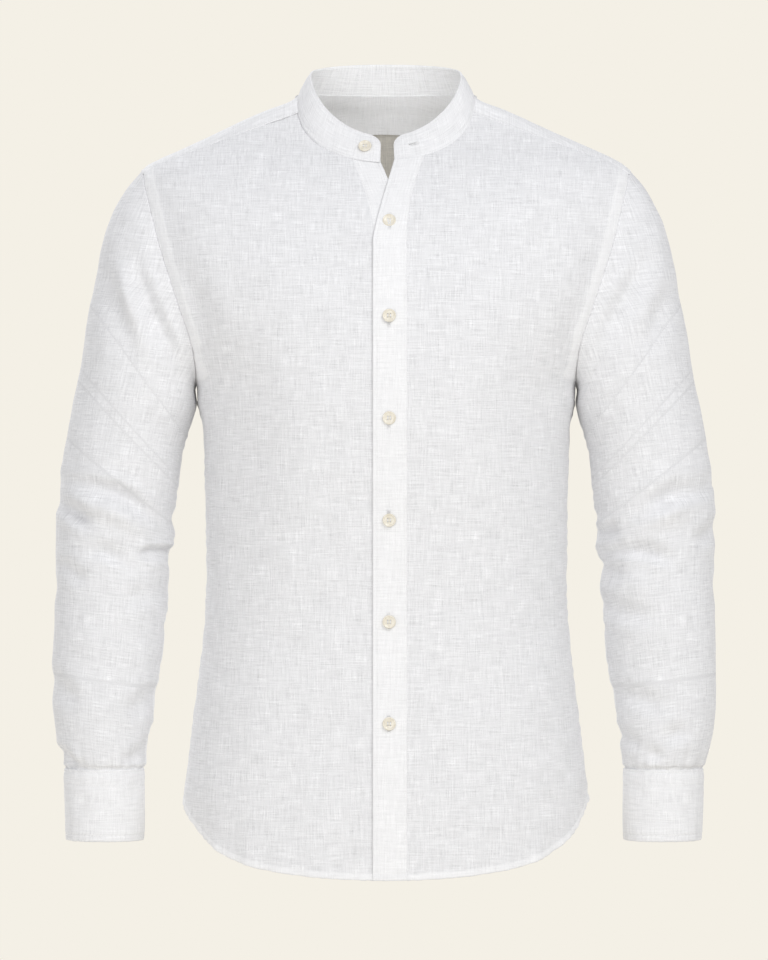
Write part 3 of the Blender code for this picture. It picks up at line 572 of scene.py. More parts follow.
def makeSpeckled(name, roughness, colours, scale, detail=2.0, distortion=0.0, between=(0.0, 1.0), coat=0.0):
    # two tones of one colour, mixed by a fine noise
    material, tree, shader = newMaterial(name, roughness)
    place = newNode(tree, "TexCoord").outputs["Object"]
    noise = newNode(tree, "TexNoise", {"Vector": place, "Scale": scale, "Detail": detail,
                                       "Distortion": distortion})
    tone = newNode(tree, "ValToRGB", {"Fac": noise.outputs["Fac"]})
    for element, position, colour in zip(tone.color_ramp.elements, between, colours):
        element.position = position
        element.color = (*colour, 1)
    tree.links.new(tone.outputs["Color"], shader.inputs["Base Color"])
    shader.inputs["Coat Weight"].default_value = coat
    return material


linen = makeLinen("linenWhite", linenLook["inside"])
linenBackPaintedShade = makeLinen("linenBackPaintedShade", linenLook["insideBackPaintedShade"])
linenNeckPaintedLight = makeLinen("linenNeckPaintedLight", linenLook["insideNeckPaintedLight"])
threadWhite = makeSpeckled("threadWhite", 0.6, ((0.80, 0.80, 0.80), (0.90, 0.90, 0.905)), 1400.0)
shadeGrey = makeSpeckled("shadeGrey", 0.6, ((0.10, 0.098, 0.09), (0.17, 0.165, 0.15)), 1400.0)
buttonIvory = makeSpeckled("buttonIvory", 0.28, ((0.76, 0.70, 0.57), (0.88, 0.84, 0.74)), 260.0, detail=3.0,
                           distortion=1.2, between=(0.3, 0.7), coat=0.3)
print("materials made")


# folds of the body
bodyFolds = [
    # drag from the armholes down the sides of the chest
    fold("front", -0.0042, 0.011, skew=0.35, ends=(0.2, 0.0),
         path=((-0.199, -0.150), (-0.184, -0.182), (-0.176, -0.215), (-0.170, -0.262))),
    fold("front", -0.0026, 0.012, skew=-0.3, ends=(0.3, 0.0),
         path=((0.196, -0.165), (0.181, -0.205), (0.172, -0.245), (0.163, -0.290))),
    # soft hollows beside the chest
    fold("front", -0.0050, 0.030, lip=0.15, ends=(0.0, 0.1),
         path=((-0.150, -0.175), (-0.139, -0.240), (-0.132, -0.320), (-0.136, -0.420), (-0.143, -0.520))),
    fold("front", -0.0034, 0.028, lip=0.15, ends=(0.0, 0.1),
         path=((0.148, -0.180), (0.140, -0.240), (0.134, -0.310), (0.139, -0.400))),
    # pulls from the open collar
    fold("front", -0.0012, 0.0050, ends=(0.6, 0.0),
         path=((-0.038, -0.064), (-0.034, -0.080), (-0.030, -0.102))),
    fold("front", -0.0010, 0.0045, ends=(0.6, 0.0),
         path=((-0.025, -0.068), (-0.021, -0.084), (-0.017, -0.106))),
    fold("front", -0.0010, 0.0055, ends=(0.5, 0.0),
         path=((0.040, -0.064), (0.045, -0.078), (0.053, -0.098))),
    fold("front", -0.0012, 0.0080, ends=(0.3, 0.0),
         path=((-0.100, -0.045), (-0.118, -0.075), (-0.128, -0.110))),
    fold("front", -0.0010, 0.0080, ends=(0.3, 0.0),
         path=((0.105, -0.048), (0.120, -0.078), (0.131, -0.115))),
    # long shallow falls towards the hem
    fold("front", -0.0016, 0.020, ends=(0.0, 0.7),
         path=((-0.086, -0.450), (-0.090, -0.560), (-0.096, -0.730))),
    fold("front", -0.0014, 0.018, ends=(0.0, 0.8),
         path=((0.092, -0.470), (0.095, -0.590), (0.103, -0.725))),
    fold("front", -0.0013, 0.016, ends=(0.0, 0.5),
         path=((-0.045, -0.520), (-0.047, -0.620), (-0.043, -0.735))),
    # the sides swell towards the sleeves under the arms
    *(fold(face, 0.0018, 0.013, lip=0.0, ends=(0.3, 0.0),
           path=((sign * 0.1785, -0.268), (sign * 0.1765, -0.286), (sign * 0.1745, -0.312)))
      for face in ("front", "back") for sign in (-1, 1)),
    # the back: drag from the armholes, hollow of the waist, falls to the tail
    fold("back", -0.0040, 0.013, skew=0.3, ends=(0.2, 0.0),
         path=((-0.200, -0.160), (-0.182, -0.200), (-0.170, -0.250), (-0.160, -0.300))),
    fold("back", -0.0044, 0.012, skew=-0.3, ends=(0.2, 0.0),
         path=((0.202, -0.150), (0.186, -0.190), (0.172, -0.235), (0.158, -0.292))),
    fold("back", -0.0030, 0.022, ends=(0.0, 0.2),
         path=((-0.075, -0.090), (-0.070, -0.170), (-0.062, -0.280))),
    fold("back", -0.0027, 0.021, ends=(0.0, 0.2),
         path=((0.082, -0.095), (0.074, -0.180), (0.068, -0.300))),
    fold("back", -0.0028, 0.012, skew=0.2,
         path=((-0.120, -0.405), (-0.060, -0.428), (0.010, -0.432), (0.065, -0.420))),
    fold("back", -0.0024, 0.010, skew=-0.2,
         path=((-0.060, -0.462), (0.005, -0.474), (0.070, -0.466), (0.118, -0.446))),
    fold("back", -0.0030, 0.022, ends=(0.0, 0.8),
         path=((-0.105, -0.480), (-0.112, -0.590), (-0.120, -0.730))),
    fold("back", -0.0026, 0.020, ends=(0.0, 0.8),
         path=((0.090, -0.500), (0.098, -0.610), (0.110, -0.735))),
    fold("back", -0.0020, 0.018, ends=(0.0, 0.7),
         path=((-0.010, -0.540), (-0.006, -0.640), (-0.012, -0.742))),
]


yoke = {
    "neckFront": math.radians(80), "neckCorner": math.radians(120), "backDrop": 0.0260, "seamBend": 1.7,
    "endSteps": 4, "last": 24, "lap": 0.0016, "raise": 0.0003, "stitch": 0.0018, "plies": 0.45,
    "hollowAt": 2.6, "hollowFill": 0.0018,     # filled out where the shoulder turns up to the collar
}


def armholeLoop():
    # the left armhole seam: up the front, over the yoke and down the back, as places and facings
    front = armholePlace(np.linspace(0, 1, 90), body["frontYokeEnd"], "front")
    back = armholePlace(np.linspace(1, 0, 90), body["backYokeEnd"], "back")
    over = yokeEnd(np.linspace(0, 1, 30))
    turns = np.concatenate([front[0], over[0][1:-1], back[0][:-1]])
    heights = np.concatenate([front[1], over[1][1:-1], back[1][:-1]])
    return onBody(turns, heights), bodyFacing(turns, heights)


def yokeSeam(share):
    # the seam of the yoke and the back, from the left armhole (0) to the right one (1)
    start = turnAt(along(body["armhole"], "height", "back", body["backYokeEnd"]), body["backYokeEnd"], True)
    turn = mix(start, 2 * math.pi - start, share)
    return turn, mix(-yoke["backDrop"], body["backYokeEnd"], np.abs(2 * share - 1) ** yoke["seamBend"])


def yokeEnd(share):
    # the yoke's end over the shoulder, from the front (0) to the back (1)
    frontX = along(body["armhole"], "height", "front", body["frontYokeEnd"])
    frontTurn = turnAt(frontX, body["frontYokeEnd"])
    backTurn = yokeSeam(np.array(0.0))[0]
    turn = mix(frontTurn, backTurn, share)
    rise = np.clip((turn - frontTurn) / (math.pi / 2 - frontTurn), 0, 1)
    fall = np.clip((turn - math.pi / 2) / (backTurn - math.pi / 2), 0, 1)
    before = mix(body["frontYokeEnd"], body["armholeTop"], np.sin(rise * math.pi / 2))
    after = mix(body["armholeTop"], body["backYokeEnd"], fall ** 1.6)
    return turn, np.where(turn < math.pi / 2, before, after)


armholePoints, armholeFacing = armholeLoop()


def fromArmhole(points):
    # the distance of each point from the nearer armhole seam
    own = points.reshape(-1, 3).copy()
    own[:, 0] = np.abs(own[:, 0])
    distance = np.min(np.linalg.norm(own[:, None, :] - armholePoints[None, ::3], axis=-1), axis=1)
    return distance.reshape(points.shape[:-1])


def bodyRelief(points, facing, strength=1.0):
    calm = smooth((fromArmhole(points) - 0.002) / 0.022)
    nearNeck = np.linalg.norm((points - [0, 0, -0.02]) / [0.0845, 0.062, 0.06], axis=-1)
    calm = calm * smooth((nearNeck - 1.02) / 0.25)
    return (strength * foldRelief(points, facing, bodyFolds) + crumple(points)) * calm


# fronts and button strips
strips = {
    "bend": -0.1370,                     # where the closed front starts to open towards the neck
    "left": {"free": (-0.0120, 0.0079, 1.15), "seam": (0.0190, 0.0362, 2.0)},
    "right": {"free": (0.0200, -0.0054, 1.30), "seam": (-0.0105, -0.0319, 1.5)},
    "freeStitch": 0.0030, "seamStitch": 0.0022, "underDepth": 0.0018, "raise": 0.00045, "cloth": 0.0012,
}
fronts = {
    "step": 0.0031, "cloth": 0.0008, "hemFold": 0.0060, "hemStitch": 0.0052,
    "seamFold": 0.0120, "edgeStitch": 0.0016, "seamStitch": 0.0110, "groove": 0.00014,
}


def stripEdge(edge, height):
    below, atNeck, bend = edge
    top = onNeck(neckTurn(atNeck))[..., 2]
    share = np.clip((height - strips["bend"]) / (top - strips["bend"]), 0, 1)
    return mix(below, atNeck, share ** bend)


def stripPlace(edge, share):
    # a place on a strip's edge, from the hem (0) to the neck seam (1)
    below, atNeck, _ = edge
    atHem = hemHeight(turnAt(np.asarray(below), body["frontHem"])) - body["frontHem"]
    rise = onNeck(neckTurn(atNeck))[..., 2] + neck["drop"]
    height = mix(body["frontHem"], -neck["drop"], share) + atHem * (1 - share) ** 12 + rise * share ** 12
    return turnAt(stripEdge(edge, height), height), height


def stripShare(row):
    # rows are numbered from the hem: 10 is level with the underarm and 14 is the neck seam
    return np.where(row < 10, 0.07 * row, mix(0.70, 1.0, (row - 10) / 4))


frontRows = np.concatenate([np.linspace(0, 0.24, 12), np.arange(0.31, 10, 0.075), np.arange(10, 15, 0.085),
                            np.linspace(15, 18.8, 34), np.linspace(18.83, 19, 6)])
stripRows = np.concatenate([frontRows[frontRows < 14], [14.0]])


def frontGrid(side):
    sign = 1 if side == "left" else -1
    edge = strips[side]["seam"]
    columns = fineLines(0.215, fronts["step"])
    row = frontRows
    atNeck = onNeck(mix(neckTurn(edge[1]), sign * yoke["neckFront"], np.clip((row - 14) / 5, 0, 1)))
    stripTurn, stripHeight = stripPlace(edge, np.clip(stripShare(row), 0, 1))
    neckBase = turnAt(atNeck[:, 0], atNeck[:, 2])
    onStrip = row < 14
    innerTurn = np.where(onStrip, stripTurn, neckBase)
    innerHeight = np.where(onStrip, stripHeight, atNeck[:, 2])
    settle = atNeck - onBody(neckBase, atNeck[:, 2])
    settle = settle * np.where(onStrip, np.clip((stripShare(row) - 0.86) / 0.14, 0, 1) ** 2, 1.0)[:, None]
    armTurn, armHeight = armholePlace(np.clip((row - 10) / 9, 0, 1), body["frontYokeEnd"], "front")
    outerTurn = sign * np.where(row < 10, math.pi / 2, armTurn)
    outerHeight = np.where(row < 10, mix(body["sideHem"], body["underarm"], row / 10), armHeight)
    share = columns[None, :]
    turn = mix(innerTurn[:, None], outerTurn[:, None], share)
    bottom = hemHeight(innerTurn)[:, None]
    tail = np.clip(1 - row / 10, 0, 1)[:, None]
    level = mix(share, (hemHeight(turn) - bottom) / (body["sideHem"] - bottom), tail)
    height = mix(innerHeight[:, None], outerHeight[:, None], level)
    points = onBody(turn, height) + settle[:, None, :] * (1 - share[..., None]) ** 3
    return points, bodyFacing(turn, height), clothPlace(turn, height)


def stripGrid(side):
    free, seam = strips[side]["free"], strips[side]["seam"]
    columns = np.linspace(0, 1, 31)
    share = stripShare(stripRows)
    lines, facings = [], []
    for across in columns:
        edge = tuple(mix(a, b, across) for a, b in zip(free, seam))
        turn, height = stripPlace(edge, share)
        base = onBody(turn, height)
        weight = np.clip((share - 0.86) / 0.14, 0, 1) ** 2
        lines.append(base + (onNeck(neckTurn(edge[1])) - base[-1])[None] * weight[:, None])
        facings.append(bodyFacing(turn, height))
    return np.stack(lines, axis=1), np.stack(facings, axis=1)


def hemRipple(points, distances):
    # the curved hem waves a little where it is eased round
    turn = np.arctan2(points[..., 0], -points[..., 1])
    curve = np.exp(-((np.abs(np.sin(turn)) - 0.80) / 0.22) ** 2) + 0.25
    wave = np.sin(turn * 26 + 1.5 * np.sin(turn * 7))
    return 0.0011 * wave * curve * np.exp(-distances["bottom"] / 0.022)


stitching = {}          # stitches of each piece
surfaces = {}           # outer faces that buttonholes are sewn on
buttonThreads = []


def addStitches(group, paths):
    stitching.setdefault(group, []).extend(stitchShapes(*path) for path in paths)


def finishPiece(piece, node):
    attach(piece, "root")
    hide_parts(node)


hemSeam = dict(edge="bottom", band=fronts["hemFold"], stitches=(fronts["hemStitch"],), pucker=0.00060,
               period=0.012)


def armSeam(edge, weight):
    return dict(edge=edge, band=fronts["seamFold"], stitches=(fronts["edgeStitch"], fronts["seamStitch"]),
                weight=weight, groove=fronts["groove"], pucker=0.0002)


def addFronts():
    for side in ("left", "right"):
        points, facing, threads = frontGrid(side)
        distances = edgeDistances(points)
        atSeam = slant(points, "end")
        distances["end"] = distances["end"] * atSeam[:, None]
        above = smooth((frontRows - 9.9) / 0.3)[:, None] + 0 * distances["bottom"]
        dip = 0.0 * distances["bottom"]
        if side == "right":
            across = distances["start"] / distances["start"][:, -1:]
            dip = strips["underDepth"] * np.clip(1 - across * 8 / 3, 0, 1)
        lift, plies = seamRelief(distances, [
            hemSeam, armSeam("end", above),
            dict(edge="end", weight=1 - above, pucker=0.0004, period=0.017),
            dict(edge="top", pucker=0.00025, period=0.014)])
        relief = bodyRelief(points, facing) + hemRipple(points, distances)
        outer = pushed(points, facing, relief + lift - dip)
        inner = pushed(points, facing, relief - dip - fronts["cloth"] - 0.4 * plies * 0.0006)
        piece = makeWall("front_" + side + "_linen", outer, inner, plies, linen, uv=threads)
        finishPiece(piece, "front_" + side)
        under = np.searchsorted(frontRows, 10.05)
        paths = [insetPath(outer, facing, "bottom", fronts["hemStitch"])]
        paths += [insetPath(outer, facing, "end", fronts[name], rows=(under, None), slants=atSeam)
                  for name in ("edgeStitch", "seamStitch")]
        addStitches("front_" + side, paths + [insetPath(outer, facing, "end", fronts["edgeStitch"],
                                                         rows=(0, under))])


def addStrips():
    lines = {"start": strips["freeStitch"], "end": strips["seamStitch"], "bottom": fronts["hemStitch"]}
    for side in ("left", "right"):
        points, facing = stripGrid(side)
        distances = edgeDistances(points)
        lift, _ = seamRelief(distances, [
            dict(edge="start", stitches=(lines["start"],), pucker=0.00012, period=0.013),
            dict(edge="end", stitches=(lines["end"],), pucker=0.00012, period=0.012),
            dict(edge="bottom", band=fronts["hemFold"], rise=0.0003, stitches=(lines["bottom"],))])
        raised = strips["raise"] if side == "left" else -strips["underDepth"]
        relief = bodyRelief(points, facing) + hemRipple(points, distances) + raised
        outer = pushed(points, facing, relief + lift)
        inner = pushed(points, facing, relief - strips["cloth"])
        piece = makeWall("strip_" + side + "_linen", outer, inner, 0 * lift + 1, linen, lined=True)
        finishPiece(piece, "placket_" + side)
        addStitches("strip_" + side, [insetPath(outer, facing, edge, lines[edge]) for edge in lines])
        surfaces["strip_" + side] = (outer, facing)


# back and yoke
backRows = np.concatenate([np.linspace(0, 0.24, 12), np.arange(0.31, 10, 0.08), np.arange(10, 17.6, 0.115),
                           np.linspace(17.62, 18, 9)])
backPanel = {"step": 0.0034, "cloth": 0.0008, "foldStrength": 1.4, "sideFold": 0.0075, "sideStitch": 0.0068}


def backGrid():
    row = backRows
    columns = fineLines(0.47, backPanel["step"])
    armTurn, armHeight = armholePlace(np.clip((row - 10) / 8, 0, 1), body["backYokeEnd"], "back")
    turn0 = np.where(row < 10, math.pi / 2, armTurn)[:, None]
    height0 = np.where(row < 10, mix(body["sideHem"], body["underarm"], row / 10), armHeight)[:, None]
    tail = np.clip(1 - row / 10, 0, 1)[:, None]
    middle = np.where(row < 10, mix(body["backHem"], body["underarm"], row / 10),
                      mix(body["underarm"], -yoke["backDrop"], np.clip((row - 10) / 8, 0, 1)))[:, None]
    turn = mix(turn0, 2 * math.pi - turn0, columns[None, :])
    out = np.abs(2 * columns - 1)[None, :]
    hemRise = (hemHeight(turn) - body["backHem"]) / (body["sideHem"] - body["backHem"])
    height = mix(middle, height0, mix(out ** yoke["seamBend"], hemRise, tail))
    return onBody(turn, height), bodyFacing(turn, height), clothPlace(turn, height, True)


def addBack():
    points, facing, threads = backGrid()
    distances = edgeDistances(points)
    atSeam = {edge: slant(points, edge) for edge in ("start", "end")}
    for edge in atSeam:
        distances[edge] = distances[edge] * atSeam[edge][:, None]
    above = smooth((backRows - 9.9) / 0.3)[:, None] + 0 * distances["bottom"]
    sideSeam = dict(band=backPanel["sideFold"], stitches=(fronts["edgeStitch"], backPanel["sideStitch"]),
                    weight=1 - above, pucker=0.0004, period=0.017)
    seams = [hemSeam]
    for edge in ("start", "end"):
        seams += [armSeam(edge, above), dict(sideSeam, edge=edge)]
    lift, plies = seamRelief(distances, seams + [dict(edge="top", pucker=0.0003, period=0.014)])
    relief = bodyRelief(points, facing, backPanel["foldStrength"]) + hemRipple(points, distances)
    outer = pushed(points, facing, relief + lift)
    inner = pushed(points, facing, relief - backPanel["cloth"])
    # its inner faces carry painted shade
    piece = makeWall("back_linen", outer, inner, plies, linenBackPaintedShade, uv=threads)
    finishPiece(piece, "back")
    under = np.searchsorted(backRows, 10.05)
    paths = [insetPath(outer, facing, "bottom", fronts["hemStitch"])]
    for edge in ("start", "end"):
        paths += [insetPath(outer, facing, edge, inset, rows=rows, slants=atSeam[edge]) for inset, rows in (
            (fronts["edgeStitch"], (under, None)), (fronts["seamStitch"], (under, None)),
            (fronts["edgeStitch"], (0, under)), (backPanel["sideStitch"], (0, under)))]
    addStitches("back", paths)


def yokeGrid():
    steps, last = yoke["endSteps"], yoke["last"]
    column = np.concatenate([np.linspace(0, 0.8, 12), np.linspace(0.86, 4, 22), np.linspace(4.1, 19.9, 118),
                             np.linspace(20, 23.14, 22), np.linspace(23.2, 24, 12)])
    rightColumn = last - column
    nearLeft, nearRight = column <= steps, column >= last - steps
    endTurn, endHeight = yokeEnd(np.clip(np.where(nearRight, rightColumn, column) / steps, 0, 1))
    seamTurn, seamHeight = yokeSeam(np.clip((column - steps) / (last - 2 * steps), 0, 1))
    outerTurn = np.where(nearLeft, endTurn, np.where(nearRight, 2 * math.pi - endTurn, seamTurn))
    outerHeight = np.where(nearLeft | nearRight, endHeight, seamHeight)
    around = [yoke["neckFront"], yoke["neckCorner"], 2 * math.pi - yoke["neckCorner"],
              2 * math.pi - yoke["neckFront"]]
    neckAt = np.interp(column, [0, steps, last - steps, last], around)
    atNeck = onNeck(neckAt)
    front, corner = onNeck(np.array(yoke["neckFront"])), onNeck(np.array(yoke["neckCorner"]))
    first, second = float(turnAt(front[0], front[2])), float(turnAt(corner[0], corner[2], True))
    innerTurn = np.interp(column, [0, steps, last - steps, last],
                          [first, second, 2 * math.pi - second, 2 * math.pi - first])
    settle = atNeck - onBody(innerTurn, atNeck[:, 2])
    share = fineLines(0.11, 0.0032)[:, None]
    turn = mix(innerTurn[None], outerTurn[None], share)
    height = mix(atNeck[None, :, 2], outerHeight[None], share)
    points = onBody(turn, height) + settle[None] * (1 - share[..., None]) ** 3
    return points[::-1], bodyFacing(turn, height)[::-1], column


def addYoke():
    points, facing, column = yokeGrid()
    distances = edgeDistances(points)
    fromEnd = np.minimum(column, yoke["last"] - column)
    onEnd = smooth((yoke["endSteps"] + 0.2 - fromEnd) / 0.4)[None, :] + 0 * distances["bottom"]
    stitched = dict(stitches=(yoke["stitch"],), period=0.014)
    lift, plies = seamRelief(distances, [
        armSeam("bottom", onEnd), dict(stitched, edge="bottom", weight=1 - onEnd, pucker=0.0003),
        dict(stitched, edge="start", pucker=0.00025), dict(stitched, edge="end", pucker=0.00025)])
    plies = np.maximum(plies, yoke["plies"])
    relief = bodyRelief(points, facing)
    corner = np.exp(-((fromEnd - yoke["hollowAt"]) / 1.5) ** 2)[None, :]
    relief = relief + yoke["hollowFill"] * corner * np.exp(-(distances["top"] / 0.0045) ** 2)
    # its folded edge lies a little over the front and the back
    lap = unit(points[0] - points[2])[None]
    spread = np.exp(-distances["bottom"] / 0.0012)[..., None] * lap * yoke["lap"]
    outer = pushed(points + spread, facing, relief + lift + yoke["raise"])
    inner = pushed(points + spread, facing, relief - 0.0002)
    inner[3:] -= facing[3:] * 0.0007
    threads = np.stack([points[..., 0] * 1.12, points[..., 1] * 1.1 - points[..., 2] * 0.5], axis=-1)
    piece = makeWall("yoke_linen", outer, inner, plies, linen, uv=threads, lined=True)
    finishPiece(piece, "yoke")
    upper, lower = pushed(points, facing, relief - 0.0014), pushed(points, facing, relief - 0.0024)
    # its inner face, seen through the neck, carries painted light
    piece = makeWall("yoke_inner_linen", upper, lower, 0 * lift + 1, linenNeckPaintedLight, uv=threads)
    finishPiece(piece, "yoke_inner")
    seam, *ends = [insetPath(outer, facing, edge, yoke["stitch"]) for edge in ("bottom", "start", "end")]
    places, normals = insetPath(outer, facing, "bottom", fronts["seamStitch"])
    bands = [(places[part], normals[part])
             for part in (column < yoke["endSteps"], column > yoke["last"] - yoke["endSteps"])]
    addStitches("yoke", [seam, *bands, *ends])


# band collar
collar = {
    "topHalfWidth": 0.0724, "topFront": 0.0440, "topBack": 0.0490, "sideHeight": 0.0235,
    "frontDrop": 0.0604, "backRise": 0.0137, "corner": 0.0110, "cornerTurn": 0.155, "thickness": 0.0020,
    "stitch": 0.0022, "plies": 0.62,
    "folds": [
        fold("front", -0.0012, 0.0032, lip=0.4, ends=(0.2, 0.0),
             path=((0.024, -0.032), (0.037, -0.040), (0.055, -0.045))),
        fold("front", 0.0008, 0.0045, lip=0.0,
             path=((0.030, -0.043), (0.045, -0.034), (0.058, -0.022))),
        fold("front", -0.0010, 0.0055, lip=0.3,
             path=((-0.066, -0.008), (-0.055, -0.026), (-0.040, -0.042))),
    ],
}


def collarTop(turn):
    across, ahead = np.sin(turn), np.cos(turn)
    frontHeight = collar["sideHeight"] - collar["frontDrop"] * np.maximum(ahead, 0) ** 1.25
    backHeight = collar["sideHeight"] + collar["backRise"] * np.maximum(-ahead, 0) ** 0.7
    depth = np.where(ahead > 0, collar["topFront"], collar["topBack"])
    return np.stack([collar["topHalfWidth"] * across, -depth * ahead,
                     np.where(ahead > 0, frontHeight, backHeight)], axis=-1)


def collarGrid():
    first = float(neckTurn(strips["left"]["free"][1]))
    last = 2 * math.pi + float(neckTurn(strips["right"]["free"][1]))
    ease = np.linspace(0, 1, 26) ** 1.9
    turn = np.concatenate([first + ease * 0.20, np.linspace(first + 0.23, last - 0.23, 170),
                           last - ease[::-1] * 0.20])
    bottom, top = onNeck(turn), collarTop(turn)
    fromEnd = collar["corner"] * np.minimum(turn - first, last - turn) / collar["cornerTurn"]
    cut = np.clip(collar["corner"] - fromEnd, 0, collar["corner"])
    height = np.linalg.norm(top - bottom, axis=-1)
    height = height - (collar["corner"] - np.sqrt(collar["corner"] ** 2 - cut ** 2))
    share = fineLines(0.029, 0.0014, edgeStep=0.0008, edge=0.004)[:, None]
    points = bottom[None] + (unit(top - bottom) * height[:, None])[None] * share[..., None]
    around = np.gradient(points, axis=1)
    upward = np.gradient(points, axis=0)
    return points, unit(np.cross(around, upward))


def addCollar():
    points, facing = collarGrid()
    distances = edgeDistances(points)
    lift, _ = seamRelief(distances, [
        dict(edge=edge, stitches=(collar["stitch"],), pucker=amount, period=period)
        for edge, amount, period in (("top", 0.00008, 0.012), ("bottom", 0.00016, 0.010),
                                     ("start", 0.0, 0.012), ("end", 0.0, 0.012))])
    # the two plies are pressed flat at the stitched edges and swell between them
    fromEdge = nearestEdge(distances)
    swell = 0.00045 * smooth((fromEdge - 0.0022) / 0.006) - 0.0004 * np.exp(-fromEdge / 0.0009)
    relief = foldRelief(points, facing, collar["folds"]) + crumple(points * 1.6, 0.35) + lift + swell
    sunk = -unit(points[-1] - points[0])[None] * (0.0013 * np.exp(-distances["bottom"] / 0.0012))[..., None]
    outer = pushed(points + sunk, facing, relief)
    inner = pushed(points + sunk, -facing, collar["thickness"] - 0.5 * relief + 0.8 * swell)
    middle = len(points) // 2
    threads = np.stack([0 * lift + distances["start"][middle], distances["bottom"]], axis=-1)
    # the collar's inner face carries painted light
    piece = makeWall("collar_band_linen", outer, inner, 0 * lift + collar["plies"], linenNeckPaintedLight, uv=threads)
    finishPiece(piece, "collar_band")
    paths = [insetPath(outer, facing, edge, collar["stitch"], trim=0.002)
             for edge in ("top", "bottom", "start", "end")]
    paths.append(insetPath(inner, -facing, "top", collar["stitch"], trim=0.002))
    addStitches("collar_band", paths)
    surfaces["collar"] = (outer, facing)


